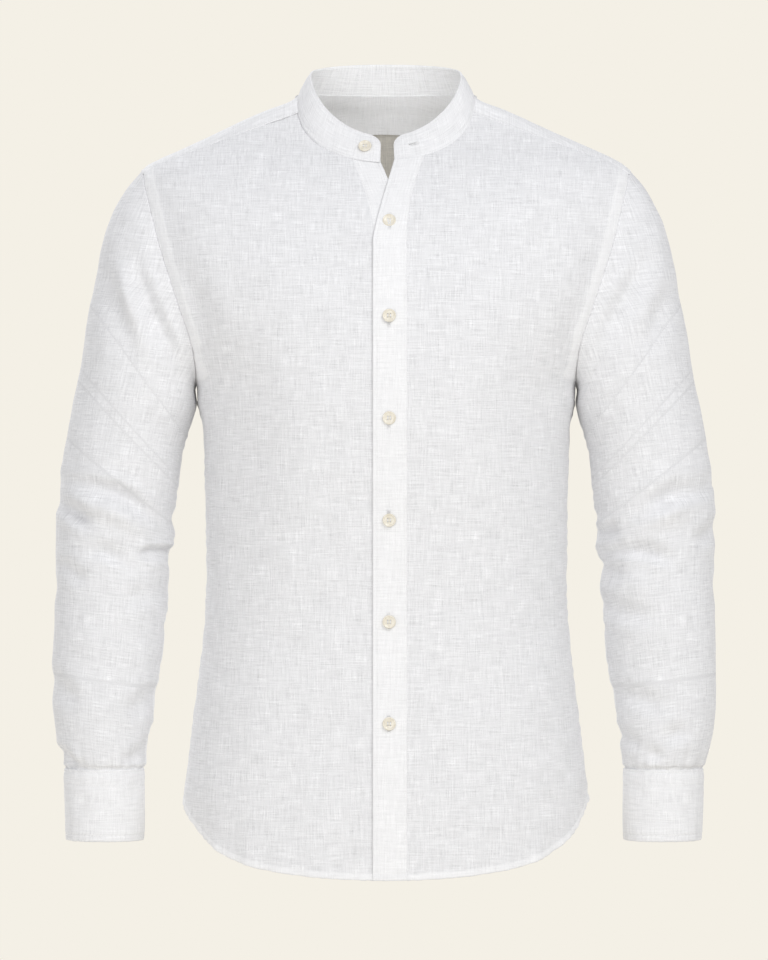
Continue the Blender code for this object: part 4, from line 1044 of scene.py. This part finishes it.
# sleeves
sleeve = {
    "step": 0.0031, "cloth": 0.0008, "headRows": 8, "foldStrength": 1.4, "crumple": 1.35,
    "seamStitch": 0.0030, "stripStitch": 0.0018, "swing": {"left": -0.0020, "right": 0.0020},
    "sections": [dict(zip(("outerX", "outerZ", "innerX", "innerZ", "middleY", "halfDepth"), row), index=index)
                 for index, row in enumerate((
                     (0.2300, -0.0665, 0.1800, -0.2700, 0.0000, 0.0580),
                     (0.2408, -0.0790, 0.1815, -0.2755, -0.0005, 0.0600),
                     (0.2520, -0.0955, 0.1820, -0.2820, -0.0010, 0.0620),
                     (0.2618, -0.1150, 0.1826, -0.2890, -0.0015, 0.0635),
                     (0.2685, -0.1370, 0.1832, -0.2960, -0.0020, 0.0640),
                     (0.2740, -0.1640, 0.1845, -0.3040, -0.0025, 0.0640),
                     (0.2790, -0.1940, 0.1885, -0.3200, -0.0030, 0.0635),
                     (0.2845, -0.2250, 0.1935, -0.3385, -0.0030, 0.0625),
                     (0.2905, -0.2570, 0.1955, -0.3600, -0.0030, 0.0615),
                     (0.2975, -0.2900, 0.1990, -0.3820, -0.0030, 0.0605),
                     (0.3040, -0.3250, 0.2010, -0.4050, -0.0030, 0.0600),
                     (0.3090, -0.3600, 0.2030, -0.4270, -0.0030, 0.0595),
                     (0.3122, -0.4020, 0.2055, -0.4560, -0.0045, 0.0582),
                     (0.3122, -0.4450, 0.2070, -0.4850, -0.0075, 0.0560),
                     (0.3130, -0.4880, 0.2100, -0.5150, -0.0110, 0.0535),
                     (0.3145, -0.5300, 0.2140, -0.5450, -0.0145, 0.0508),
                     (0.3140, -0.5700, 0.2185, -0.5770, -0.0180, 0.0480),
                     (0.3100, -0.6020, 0.2225, -0.6040, -0.0205, 0.0445),
                     (0.3045, -0.6240, 0.2252, -0.6240, -0.0222, 0.0408),
                     (0.3022, -0.6330, 0.2266, -0.6330, -0.0228, 0.0368)))],
    # folds are given as on a left sleeve, with x outwards
    "right": [
        fold("front", -0.0058, 0.0078, skew=0.25, ends=(0.25, 0.1),
             path=((0.307, -0.362), (0.271, -0.367), (0.249, -0.374), (0.227, -0.390), (0.210, -0.408))),
        fold("front", 0.0040, 0.0110, lip=0.1, ends=(0.2, 0.1),
             path=((0.292, -0.378), (0.262, -0.386), (0.235, -0.400), (0.205, -0.418))),
        fold("front", -0.0062, 0.0070, skew=-0.25, ends=(0.35, 0.0),
             path=((0.314, -0.379), (0.293, -0.394), (0.272, -0.407))),
        fold("front", -0.0044, 0.0050, skew=0.4, ends=(0.0, 0.9),
             path=((0.236, -0.432), (0.222, -0.427), (0.205, -0.427))),
        fold("front", -0.0034, 0.0070, skew=-0.3, ends=(0.1, 0.1),
             path=((0.284, -0.427), (0.262, -0.430), (0.240, -0.443))),
        fold("front", -0.0022, 0.0060, ends=(0.8, 0.0),
             path=((0.303, -0.441), (0.290, -0.451), (0.280, -0.458))),
        fold("front", -0.0020, 0.0080, ends=(0.0, 0.3),
             path=((0.250, -0.474), (0.230, -0.470), (0.211, -0.464))),
        fold("front", -0.0046, 0.0105, skew=0.25, ends=(0.0, 0.1),
             path=((0.266, -0.135), (0.259, -0.175), (0.246, -0.215), (0.232, -0.255))),
        fold("front", -0.0052, 0.0095, skew=0.3, ends=(0.0, 0.3),
             path=((0.243, -0.130), (0.232, -0.170), (0.215, -0.210), (0.201, -0.240), (0.196, -0.266))),
        fold("front", 0.0022, 0.0090, lip=0.1,
             path=((0.254, -0.150), (0.243, -0.190), (0.226, -0.232))),
        fold("front", -0.0030, 0.0085, ends=(0.7, 0.0),
             path=((0.221, -0.564), (0.232, -0.574), (0.246, -0.587))),
        fold("front", -0.0026, 0.0065, ends=(0.6, 0.0),
             path=((0.226, -0.612), (0.236, -0.622), (0.250, -0.630))),
        fold("front", -0.0030, 0.0085, ends=(0.7, 0.0),
             path=((0.313, -0.550), (0.300, -0.562), (0.284, -0.576))),
        fold("front", -0.0034, 0.0050, ends=(0.8, 0.2),
             path=((0.306, -0.618), (0.296, -0.628), (0.284, -0.633))),
    ],
    "left": [
        fold("front", -0.0060, 0.0080, skew=0.3, ends=(0.2, 0.4),
             path=((0.240, -0.394), (0.257, -0.384), (0.272, -0.376), (0.300, -0.370))),
        fold("front", 0.0036, 0.0100, lip=0.1, ends=(0.1, 0.2),
             path=((0.225, -0.398), (0.250, -0.398), (0.275, -0.391), (0.300, -0.386))),
        fold("front", -0.0044, 0.0065, skew=-0.2, ends=(0.9, 0.0),
             path=((0.200, -0.411), (0.210, -0.409), (0.222, -0.403))),
        fold("front", -0.0042, 0.0060, skew=0.2, ends=(0.8, 0.0),
             path=((0.208, -0.429), (0.238, -0.428), (0.259, -0.433), (0.275, -0.440))),
        fold("front", -0.0036, 0.0100, ends=(0.8, 0.2),
             path=((0.207, -0.444), (0.214, -0.450), (0.224, -0.461))),
        fold("front", 0.0028, 0.0110, lip=0.15, ends=(0.3, 0.1),
             path=((0.208, -0.462), (0.230, -0.458), (0.256, -0.459))),
        fold("front", -0.0030, 0.0085, ends=(0.6, 0.0),
             path=((0.208, -0.478), (0.230, -0.486), (0.262, -0.492))),
        fold("front", -0.0028, 0.0070, ends=(0.0, 0.9),
             path=((0.288, -0.424), (0.301, -0.413), (0.313, -0.405))),
        fold("front", -0.0048, 0.0100, skew=0.25, ends=(0.0, 0.3),
             path=((0.250, -0.132), (0.236, -0.168), (0.214, -0.208), (0.199, -0.248))),
        fold("front", -0.0036, 0.0110,
             path=((0.268, -0.160), (0.258, -0.205), (0.240, -0.250))),
        fold("front", -0.0032, 0.0090, ends=(0.7, 0.0),
             path=((0.222, -0.563), (0.243, -0.568), (0.270, -0.578))),
        fold("front", -0.0028, 0.0070, ends=(0.1, 0.1),
             path=((0.256, -0.606), (0.271, -0.600), (0.287, -0.590))),
        fold("front", -0.0030, 0.0060, ends=(0.2, 0.0),
             path=((0.241, -0.613), (0.252, -0.619), (0.264, -0.621))),
        fold("front", -0.0024, 0.0060, ends=(0.8, 0.0),
             path=((0.224, -0.602), (0.232, -0.607), (0.242, -0.610))),
    ],
    "behind": [
        *(fold(face, 0.0013, 0.012, lip=0.0, ends=(0.3, 0.0),
               path=((0.183, -0.272), (0.185, -0.288), (0.187, -0.312))) for face in ("front", "back")),
        fold("back", -0.0042, 0.0120, skew=0.2, ends=(0.1, 0.3),
             path=((0.246, -0.150), (0.228, -0.195), (0.212, -0.235), (0.205, -0.270))),
        fold("back", -0.0030, 0.0130,
             path=((0.266, -0.170), (0.259, -0.220), (0.250, -0.275))),
        fold("back", -0.0040, 0.0080, skew=0.2, ends=(0.8, 0.0),
             path=((0.205, -0.400), (0.228, -0.397), (0.252, -0.386), (0.270, -0.372))),
        fold("back", 0.0026, 0.0110, lip=0.1, ends=(0.3, 0.0),
             path=((0.208, -0.418), (0.235, -0.414), (0.262, -0.404))),
        fold("back", -0.0034, 0.0070, skew=-0.2, ends=(0.8, 0.0),
             path=((0.206, -0.438), (0.226, -0.438), (0.248, -0.431))),
        fold("back", -0.0026, 0.0090, ends=(0.0, 0.6),
             path=((0.262, -0.446), (0.286, -0.452), (0.309, -0.462))),
        fold("back", -0.0026, 0.0100, ends=(0.6, 0.0),
             path=((0.210, -0.500), (0.232, -0.508), (0.258, -0.512))),
        fold("back", -0.0036, 0.0060, ends=(0.0, 1.0),
             path=((0.268, -0.560), (0.271, -0.600), (0.272, -0.634))),
        fold("back", -0.0030, 0.0055, ends=(0.0, 1.0),
             path=((0.249, -0.575), (0.254, -0.606), (0.256, -0.634))),
        fold("back", -0.0026, 0.0060, ends=(0.6, 0.0),
             path=((0.226, -0.600), (0.236, -0.610), (0.247, -0.616))),
    ],
}


def sleeveGrid():
    closed, faces = (np.vstack([line, line[:1]]) for line in (armholePoints, armholeFacing))
    lengths = travelled(closed)
    lengths /= lengths[-1]
    # shares round the sleeve from the underarm seam, close together beside that seam
    share = fineLines(0.41, sleeve["step"], edge=0.009)[:-1]
    seam, seamFacing = readAt(share, lengths, closed), unit(readAt(share, lengths, faces))
    angle = math.pi - 2 * math.pi * share
    row = np.concatenate([np.linspace(0, 0.5, 12), np.linspace(0.6, 5, 45), np.linspace(5.09, 18.9, 158),
                          np.linspace(18.93, 19, 5)])
    read = {name: along(sleeve["sections"], "index", name, row) for name in sleeve["sections"][0]}
    outer = np.stack([read["outerX"], read["middleY"], read["outerZ"]], axis=-1)
    inner = np.stack([read["innerX"], read["middleY"], read["innerZ"]], axis=-1)
    centre, reach = (outer + inner) / 2, (outer - inner) / 2
    points = centre[:, None] + reach[:, None] * np.cos(angle)[None, :, None]
    points[..., 1] -= read["halfDepth"][:, None] * np.sin(angle)[None]
    settle = seam - points[0]
    weight = np.clip(1 - row / sleeve["headRows"], 0, 1) ** 2
    points = points + settle[None] * weight[:, None, None]
    around = np.roll(points, -1, axis=1) - np.roll(points, 1, axis=1)
    downward = np.gradient(points, axis=0)
    facing = unit(np.cross(downward, around))
    facing = facing * np.sign(dots(facing, points - centre[:, None]).mean())
    agree = np.clip(dots(facing[0], seamFacing), 0, 1)[None, :, None]
    blend = smooth((0.6 - row) / 0.6)[:, None, None] * agree
    facing = unit(mix(facing, seamFacing[None], blend))
    return points, facing, row, share


def sleeveThreads(points):
    # the cloth's threads run down the sleeve and round its own middle line
    down, aside = unit(np.array([0.054, -0.02, -0.463])), unit(np.array([0.463, 0, 0.054]))
    closed = np.concatenate([points, points[:, :1]], axis=1)
    travel = closed @ down
    middles = points.mean(axis=1)
    gap = closed - readAt(travel, middles @ down, middles)
    angle = np.unwrap(np.arctan2(gap[..., 1], dots(gap, aside)), axis=1)
    return np.stack([angle * 0.057, -travel], axis=-1)


def addSleeves():
    base, facing, row, share = sleeveGrid()
    for side, sign in (("left", 1), ("right", -1)):
        length = body["underarm"] + 0.6333
        points = base.copy()
        points[..., 0] += sleeve["swing"][side] * np.maximum(0, (body["underarm"] - points[..., 2]) / length)
        distances = edgeDistances(points, ring=True)
        wide, fromHead, fromCuff = distances["start"][:, :-1], distances["bottom"], distances["top"]
        fromSeam = np.minimum(wide, distances["start"][:, -1:] - wide)
        calm = smooth((fromHead - 0.001) / 0.022) * smooth((fromCuff + 0.004) / 0.012)
        folds = sleeve["foldStrength"] * (foldRelief(points, facing, sleeve[side])
                                          + foldRelief(points, facing, sleeve["behind"]))
        # the two sleeves are crumpled in different ways
        at = points if side == "left" else points * [-1, 1, 1] + [0.11, 0.05, 0.03]
        uneven = crumple(at, sleeve["crumple"])
        head = (0.0005 * smooth(1 - fromHead / 0.010) * smooth(fromHead / 0.002)
                - 0.0009 * np.exp(-(fromHead / 0.0011) ** 2))
        seamLine = (-0.00028 * np.exp(-((fromSeam - sleeve["seamStitch"]) / 0.0010) ** 2)
                    + 0.00035 * smooth((0.0035 - fromSeam) / 0.001)
                    + pucker(fromSeam, fromHead, 0.00035, 0.015))
        gather = 0.0007 * np.sin(share * 2 * math.pi * 17 + 1.1 * np.sin(share * 40))[None]
        relief = (folds + uneven) * calm + head + seamLine * calm + gather * np.exp(-fromCuff / 0.016)
        # the end is drawn down into the cuff
        tuck = 0.0021 * smooth(1 - fromCuff / 0.0042)
        drawn = smooth(1 - fromCuff / 0.0016)
        lowered = points + np.array([0, 0, -1.0]) * (0.0022 * drawn)[..., None]
        turned = np.array([sign, 1, 1])
        faced = facing * turned
        outer = pushed(lowered, facing, relief * (1 - drawn) - tuck) * turned
        inner = pushed(lowered, facing, relief * (1 - drawn) - tuck - sleeve["cloth"]) * turned
        plies = smooth((0.0042 - fromSeam) / 0.001)
        threads = sleeveThreads(points)
        piece = makeWall("sleeve_" + side + "_linen", outer, inner, plies, linen, ring=True, uv=threads)
        finishPiece(piece, "sleeve_" + side)
        beside = np.searchsorted(share, sleeve["seamStitch"] / 0.40)
        addStitches("sleeve_" + side, [(outer[:, column], faced[:, column]) for column in (beside, -beside)])
        addSleeveStrip(side, sign, points, facing, relief, row, share)


def addSleeveStrip(side, sign, points, facing, relief, row, share):
    # the narrow strip that binds the slit above the cuff, on the outer side of the back
    rows = row >= 15
    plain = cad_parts["sleeve_placket_" + side].data.vertices
    corners = np.array([vertex.co for vertex in plain]) * [sign, 1, 1]
    gaps = np.linalg.norm(corners[:, None, None] - points[None, ::8, ::2], axis=-1)
    nearest = share[::2][gaps.min(axis=1).argmin(axis=1)]
    columns = np.linspace(nearest.min() + 0.002, nearest.max() - 0.002, 17)
    base, normal, lift = (np.stack([readAt(columns, share, line) for line in grid[rows]])
                          for grid in (points, facing, relief[..., None]))
    normal, lift = unit(normal), lift[..., 0]
    edges = ("start", "end", "bottom")
    seam, _ = seamRelief(edgeDistances(base), [
        dict(edge=edge, stitches=(sleeve["stripStitch"],), pucker=0.0) for edge in edges])
    turned = np.array([sign, 1, 1])
    outer = pushed(base, normal, lift + seam + 0.0015) * turned
    inner = pushed(base, normal, lift + 0.0003) * turned
    piece = makeWall("sleeve_strip_" + side + "_linen", outer, inner, 0 * seam + 1, linen, lined=True)
    finishPiece(piece, "sleeve_placket_" + side)
    addStitches("sleeve_" + side, [insetPath(outer, normal * turned, edge, sleeve["stripStitch"])
                                   for edge in edges])


# cuffs
cuff = {
    "top": -0.6333, "bottom": -0.7005, "halfWidth": 0.0380, "halfDepth": 0.0360, "taper": 0.0010,
    "overlap": math.radians(28), "underEnd": math.radians(-32), "tuckTurn": math.radians(75),
    "underStep": 0.0025, "pressedTurn": math.radians(298), "thickness": 0.0020, "plies": 0.62,
    "stitches": {"top": (0.0020, 0.0145), "bottom": (0.0055,), "end": (0.0040,)},
    "folds": [
        fold("front", -0.0011, 0.0060, ends=(0.2, 0.0),
             path=((0.292, -0.645), (0.286, -0.668), (0.279, -0.690))),
        fold("front", -0.0008, 0.0045, ends=(0.6, 0.0),
             path=((0.235, -0.637), (0.237, -0.652), (0.243, -0.668))),
        fold("back", -0.0008, 0.0060, ends=(0.3, 0.0),
             path=((0.246, -0.640), (0.252, -0.665), (0.250, -0.690))),
    ],
}


def cuffGrid(side):
    last = sleeve["sections"][-1]
    centreX = (last["outerX"] + last["innerX"]) / 2 + sleeve["swing"][side]
    total = 2 * math.pi + cuff["overlap"]
    travel = total * fineLines(0.25, 0.0016, edge=0.006)
    angle = (cuff["underEnd"] - travel)[None, :]
    # the end with the buttons lies under the other one
    under = 1 - np.clip((travel - cuff["overlap"]) / cuff["tuckTurn"], 0, 1)
    inset = cuff["underStep"] * np.where(travel < math.pi, under, 0.0)[None, :]
    share = fineLines(0.067, 0.0022, edgeStep=0.0006, edge=0.008)[:, None]
    height = mix(cuff["bottom"], cuff["top"] - 0.0003, share)
    taper = cuff["taper"] * (1 - share)
    x = centreX - taper + (cuff["halfWidth"] - inset - taper) * np.cos(angle)
    y = last["middleY"] - (cuff["halfDepth"] - inset - taper) * np.sin(angle)
    points = np.stack([x, y, height + 0 * x], axis=-1)
    facing = np.stack([np.cos(angle) + 0 * x, -np.sin(angle) + 0 * x, 0 * x], axis=-1)
    return points, unit(facing), travel


def addCuffs():
    for side, sign in (("left", 1), ("right", -1)):
        points, facing, travel = cuffGrid(side)
        distances = edgeDistances(points)
        stitches = cuff["stitches"]
        lift, _ = seamRelief(distances, [
            dict(edge="top", stitches=stitches["top"], pucker=0.00034, period=0.0125),
            dict(edge="bottom", stitches=stitches["bottom"], pucker=0.00030, period=0.0090),
            dict(edge="start", stitches=stitches["end"], pucker=0.0),
            dict(edge="end", stitches=stitches["end"], pucker=0.0)])
        fromEdge = nearestEdge(distances)
        swell = 0.0004 * smooth((fromEdge - 0.002) / 0.006) - 0.0004 * np.exp(-fromEdge / 0.0009)
        wave = crumple(points * [sign * 1.5, 1.5, 1.5] + [0.0, 0.3, 0.1], 0.6)
        crease = (travel - cuff["pressedTurn"]) * cuff["halfWidth"]
        pressed = (-0.0005 * np.exp(-(crease / 0.0009) ** 2)
                   - 0.0003 * smooth(crease / 0.0012 + 0.5) * smooth(1.6 - crease / 0.01))
        relief = lift + swell + wave + pressed[None] + foldRelief(points, facing, cuff["folds"])
        turned = np.array([sign, 1, 1])
        outer = pushed(points, facing, relief) * turned
        inner = pushed(points, -facing, cuff["thickness"] - wave) * turned
        faced = facing * turned
        piece = makeWall("cuff_" + side + "_linen", outer, inner, 0 * lift + cuff["plies"], linen, lined=True)
        finishPiece(piece, "cuff_" + side)
        addStitches("cuff_" + side, [insetPath(outer, faced, edge, inset)
                                     for edge in stitches for inset in stitches[edge]])
        surfaces["cuff_" + side] = (outer, faced)


# buttons and buttonholes
button = {
    "radius": 0.00625, "cuffRadius": 0.0056, "half": 0.0013, "rim": 0.0013, "steps": 56,
    "holes": 4, "holeRadius": 0.00075, "holeOut": 0.00175,
    "thread": 0.00019, "strands": (-0.00028, 0.0, 0.00028), "collarHole": (0.0229, -0.046, -0.0478),
}


def buttonMesh(radius):
    # turned with a raised rim and a dished middle, then drilled
    half, rim = button["half"], button["rim"]
    profile = [(0.0, -half), (radius - 0.0011, -half), (radius - 0.0004, -half + 0.0004),
               (radius, -half + 0.0012),
               (radius - 0.0001, half - 0.0007), (radius - 0.0005, half - 0.0001), (radius - 0.0009, half),
               (radius - rim + 0.0001, half - 0.0002), (radius - rim - 0.0004, half - 0.0007),
               (radius - rim - 0.0011, half - 0.0009), (0.0, half - 0.0010)]
    form = bmesh.new()
    line = [form.verts.new((out, 0.0, up)) for out, up in profile]
    for start, end in zip(line, line[1:]):
        form.edges.new((start, end))
    bmesh.ops.spin(form, geom=form.verts[:] + form.edges[:], axis=(0, 0, 1), cent=(0, 0, 0),
                   angle=2 * math.pi, steps=button["steps"], use_merge=True)
    bmesh.ops.remove_doubles(form, verts=form.verts, dist=1e-6)
    bmesh.ops.recalc_face_normals(form, faces=form.faces)
    mesh = bpy.data.meshes.new("buttonTurned")
    form.to_mesh(mesh)
    form.free()
    turned = newObject("buttonTurned", mesh)
    for index in range(button["holes"]):
        angle = math.pi / 4 + index * math.pi / 2
        bpy.ops.mesh.primitive_cylinder_add(vertices=18, radius=button["holeRadius"], depth=0.01,
                                            location=(button["holeOut"] * math.cos(angle),
                                                      button["holeOut"] * math.sin(angle), 0))
        drill = bpy.context.object
        cut = turned.modifiers.new("drill", "BOOLEAN")
        cut.operation = "DIFFERENCE"
        cut.solver = "EXACT"
        cut.object = drill
        bpy.context.view_layer.objects.active = turned
        bpy.ops.object.modifier_apply(modifier=cut.name)
        bpy.data.objects.remove(drill)
    mesh = turned.data.copy()
    bpy.data.objects.remove(turned)
    mesh.shade_smooth()
    mesh.set_sharp_from_angle(angle=math.radians(50))
    return mesh


def addButton(node, mesh):
    # sits where its plain button is, facing the same way
    points = np.array([vertex.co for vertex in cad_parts[node].data.vertices])
    centre = points.mean(axis=0)
    facing = np.linalg.svd(points - centre)[2][2]
    outward = np.array([centre[0] * 0.6, -1.0, 0.0])
    if "cuff" in node:
        outward = centre - [math.copysign(0.2624, centre[0]), -0.0228, centre[2]]
    if np.dot(facing, outward) < 0:
        facing = -facing
    low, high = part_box(node)
    middle = (np.array(low) + np.array(high)) / 2
    turn = Vector(facing).to_track_quat("Z", "Y")
    own = mesh.copy()
    own.transform(turn.to_matrix().to_4x4())
    own.transform(Matrix.Translation(Vector(middle)))
    own.materials.clear()
    finishPiece(newObject(node + "_turned", own, buttonIvory), node)
    lengthwise, up, out = (np.array(turn.to_matrix().col[k]) for k in range(3))
    for sideways in (-1, 1):
        # two bars of thread through the holes
        a = middle + (lengthwise * sideways - up) * button["holeOut"] * 0.7071
        b = middle + (lengthwise * sideways + up) * button["holeOut"] * 0.7071
        for shift in button["strands"]:
            arch = np.linspace(0, 1, 9)[:, None]
            path = a + (b - a) * (arch * 1.16 - 0.08) + lengthwise * shift
            path = path + out * (0.0003 + 0.00055 * np.sin(np.clip(arch, 0, 1) * math.pi) - 0.0002)
            buttonThreads.append(threadTube(path, button["thread"]))
    return middle


def threadTube(path, radius, sides=6):
    ahead = unit(np.gradient(path, axis=0))
    across = unit(np.cross(ahead, ahead[0] + [0.31, 0.57, 0.13]))
    other = np.cross(ahead, across)
    rings = []
    for corner in range(sides):
        angle = 2 * math.pi * corner / sides
        rings.append(path + (across * math.cos(angle) + other * math.sin(angle)) * radius)
    return np.stack(rings, axis=1).reshape(-1, 3), np.array(tubeFaces(len(path), sides))


def buttonhole(centre, ahead, across, out, length=0.0150, width=0.0026):
    # a slit bound with close stitches
    shapes = []
    count = 34
    for side in (-1, 1):
        for index in range(count):
            place = mix(-length / 2, length / 2, (index + 0.5) / count)
            middle = centre + ahead * place + across * side * width * 0.30
            path = middle + across * side * np.linspace(-0.5, 0.5, 5)[:, None] * width * 0.52
            path = path + out * (0.00020 * np.cos(np.linspace(-1.3, 1.3, 5)))[:, None]
            shapes.append(threadTube(path, button["thread"], sides=5))
    for end in (-1, 1):
        for index in range(4):
            middle = centre + ahead * end * (length / 2 + 0.0001 + index * 0.00030)
            path = middle + across * np.linspace(-0.5, 0.5, 5)[:, None] * width * 1.1
            path = path + out * (0.00024 * np.cos(np.linspace(-1.3, 1.3, 5)))[:, None]
            shapes.append(threadTube(path, 0.00020, sides=5))
    return shapes


def slitShadeSheet(centre, ahead, across, out, length=0.0125, width=0.0014):
    # a dark sheet in the open cut of a buttonhole, gaping a little: painted shade standing for the slit
    shares = np.linspace(-1, 1, 13)
    wide = width * (1 - shares ** 2) ** 0.6 / 2
    spine = centre + shares[:, None] * ahead * length / 2
    gape = across * wide[:, None]
    points = np.concatenate([spine - gape, spine + out * 0.0001, spine + gape])
    faces = []
    for row in range(2):
        for k in range(len(shares) - 1):
            a = row * len(shares) + k
            faces.append([a, a + 1, a + len(shares) + 1, a + len(shares)])
    return points, np.array(faces)


def nearestOn(surface, place):
    outer, facing = surface
    gap = np.linalg.norm(outer - place, axis=-1)
    index = np.unravel_index(gap.argmin(), gap.shape)
    return outer[index], facing[index]


def addButtons():
    big, small = buttonMesh(button["radius"]), buttonMesh(button["cuffRadius"])
    upright = np.array([0, 0, 1.0])
    holes = []
    for number in range(1, 7):
        place, normal = nearestOn(surfaces["strip_left"], addButton("button_front_%d" % number, big))
        upward = unit(upright - normal * normal[2])
        holes += buttonhole(place + normal * 0.00005, upward, unit(np.cross(upward, normal)), normal)
    addButton("button_collar", big)
    for side in ("left", "right"):
        place, normal = nearestOn(surfaces["cuff_" + side], addButton("cuff_button_" + side, small))
        ahead = unit(np.cross(upright, normal))
        holes += buttonhole(place + normal * 0.00005, ahead, upright, normal, length=0.0140)
    # the open hole at the collar's left end
    place, normal = nearestOn(surfaces["collar"], np.array(button["collarHole"]))
    ahead = unit(np.array([1.0, 0, 0.30]) - normal * normal[0])
    across = unit(np.cross(normal, ahead))
    holes += buttonhole(place, ahead, across, normal, length=0.0125)
    # the dark sheet is painted shade in the open slit
    threadPiece("collar_slit_shade", [slitShadeSheet(place + normal * 0.00012, ahead, across, normal)], shadeGrey)
    threadPiece("button_threads", buttonThreads, threadWhite)
    threadPiece("buttonholes", holes, threadWhite)
    print("buttons and buttonholes made")


# making it all
addFronts()
addStrips()
print("fronts made")
addBack()
addYoke()
print("back and yoke made")
addCollar()
addSleeves()
addCuffs()
print("collar, sleeves and cuffs made")
for group, shapes in stitching.items():
    threadPiece("stitches_" + group, shapes, threadWhite)
addButtons()


# stage, light and camera
stage = {
    "floor": -1.25, "radius": 2.8, "floorColour": (0.86, 0.83, 0.76), "backdrop": (0.905, 0.871, 0.791),
    "ambient": (0.875, 0.88, 0.905), "ambientStrength": 0.59,
    "lights": {                                         # place, target, size, watts
        "keySoft": ((1.9, -3.0, 2.1), (0, 0, -0.3), 2.4, 71),
        "fillSoft": ((-1.6, -3.4, -0.1), (0, 0, -0.3), 2.2, 31),
        "backKey": ((-1.7, 3.0, 2.0), (0, 0, -0.3), 2.4, 76),
        "backFill": ((1.7, 3.4, 0.0), (0, 0, -0.3), 2.2, 8),
        "throughCloth": ((0, -0.02, -0.16), (0, 0.08, 0.0), 0.12, 0.08),     # glow inside the neck
    },
}


def makeStage():
    mesh = bpy.data.meshes.new("floor")
    rim = [(stage["radius"] * math.cos(a), stage["radius"] * math.sin(a), stage["floor"])
           for a in np.linspace(0, 2 * math.pi, 96, endpoint=False)]
    mesh.from_pydata(rim, [], [list(range(len(rim)))])
    material, _, shader = newMaterial("floorPale", 0.9)
    shader.inputs["Base Color"].default_value = (*stage["floorColour"], 1)
    newObject("floor", mesh, material)


def addLight(name, place, target, size, watts):
    data = bpy.data.lights.new(name, "AREA")
    data.shape = "DISK"
    data.size = size
    data.energy = watts
    light = newObject(name, data)
    light.visible_camera = False
    light.location = place
    light.rotation_mode = "QUATERNION"
    light.rotation_quaternion = (Vector(target) - Vector(place)).to_track_quat("-Z", "Y")


makeStage()
world = bpy.data.worlds.new("studio")
bpy.context.scene.world = world
world.use_nodes = True
tree = world.node_tree
seen = tree.nodes["Background"]
seen.inputs["Color"].default_value = (*stage["backdrop"], 1)
ambient = newNode(tree, "Background", {"Color": (*stage["ambient"], 1), "Strength": stage["ambientStrength"]})
rays = newNode(tree, "LightPath").outputs["Is Camera Ray"]
choose = newNode(tree, "MixShader", {0: rays, 1: ambient.outputs[0], 2: seen.outputs[0]})
tree.links.new(choose.outputs[0], tree.nodes["World Output"].inputs["Surface"])
for name, row in stage["lights"].items():
    addLight(name, *row)

cameraData = bpy.data.cameras.new("camera")
camera = newObject("camera", cameraData)
cameraData.lens = 197.4
cameraData.sensor_width = 36.0
camera.location = (-0.0019, -5.0, -0.361)
camera.rotation_euler = (math.radians(90), 0, 0)
bpy.context.scene.camera = camera
bpy.context.scene.view_settings.view_transform = "Standard"
bpy.context.scene.view_settings.look = "None"
print("stage, light and camera set")
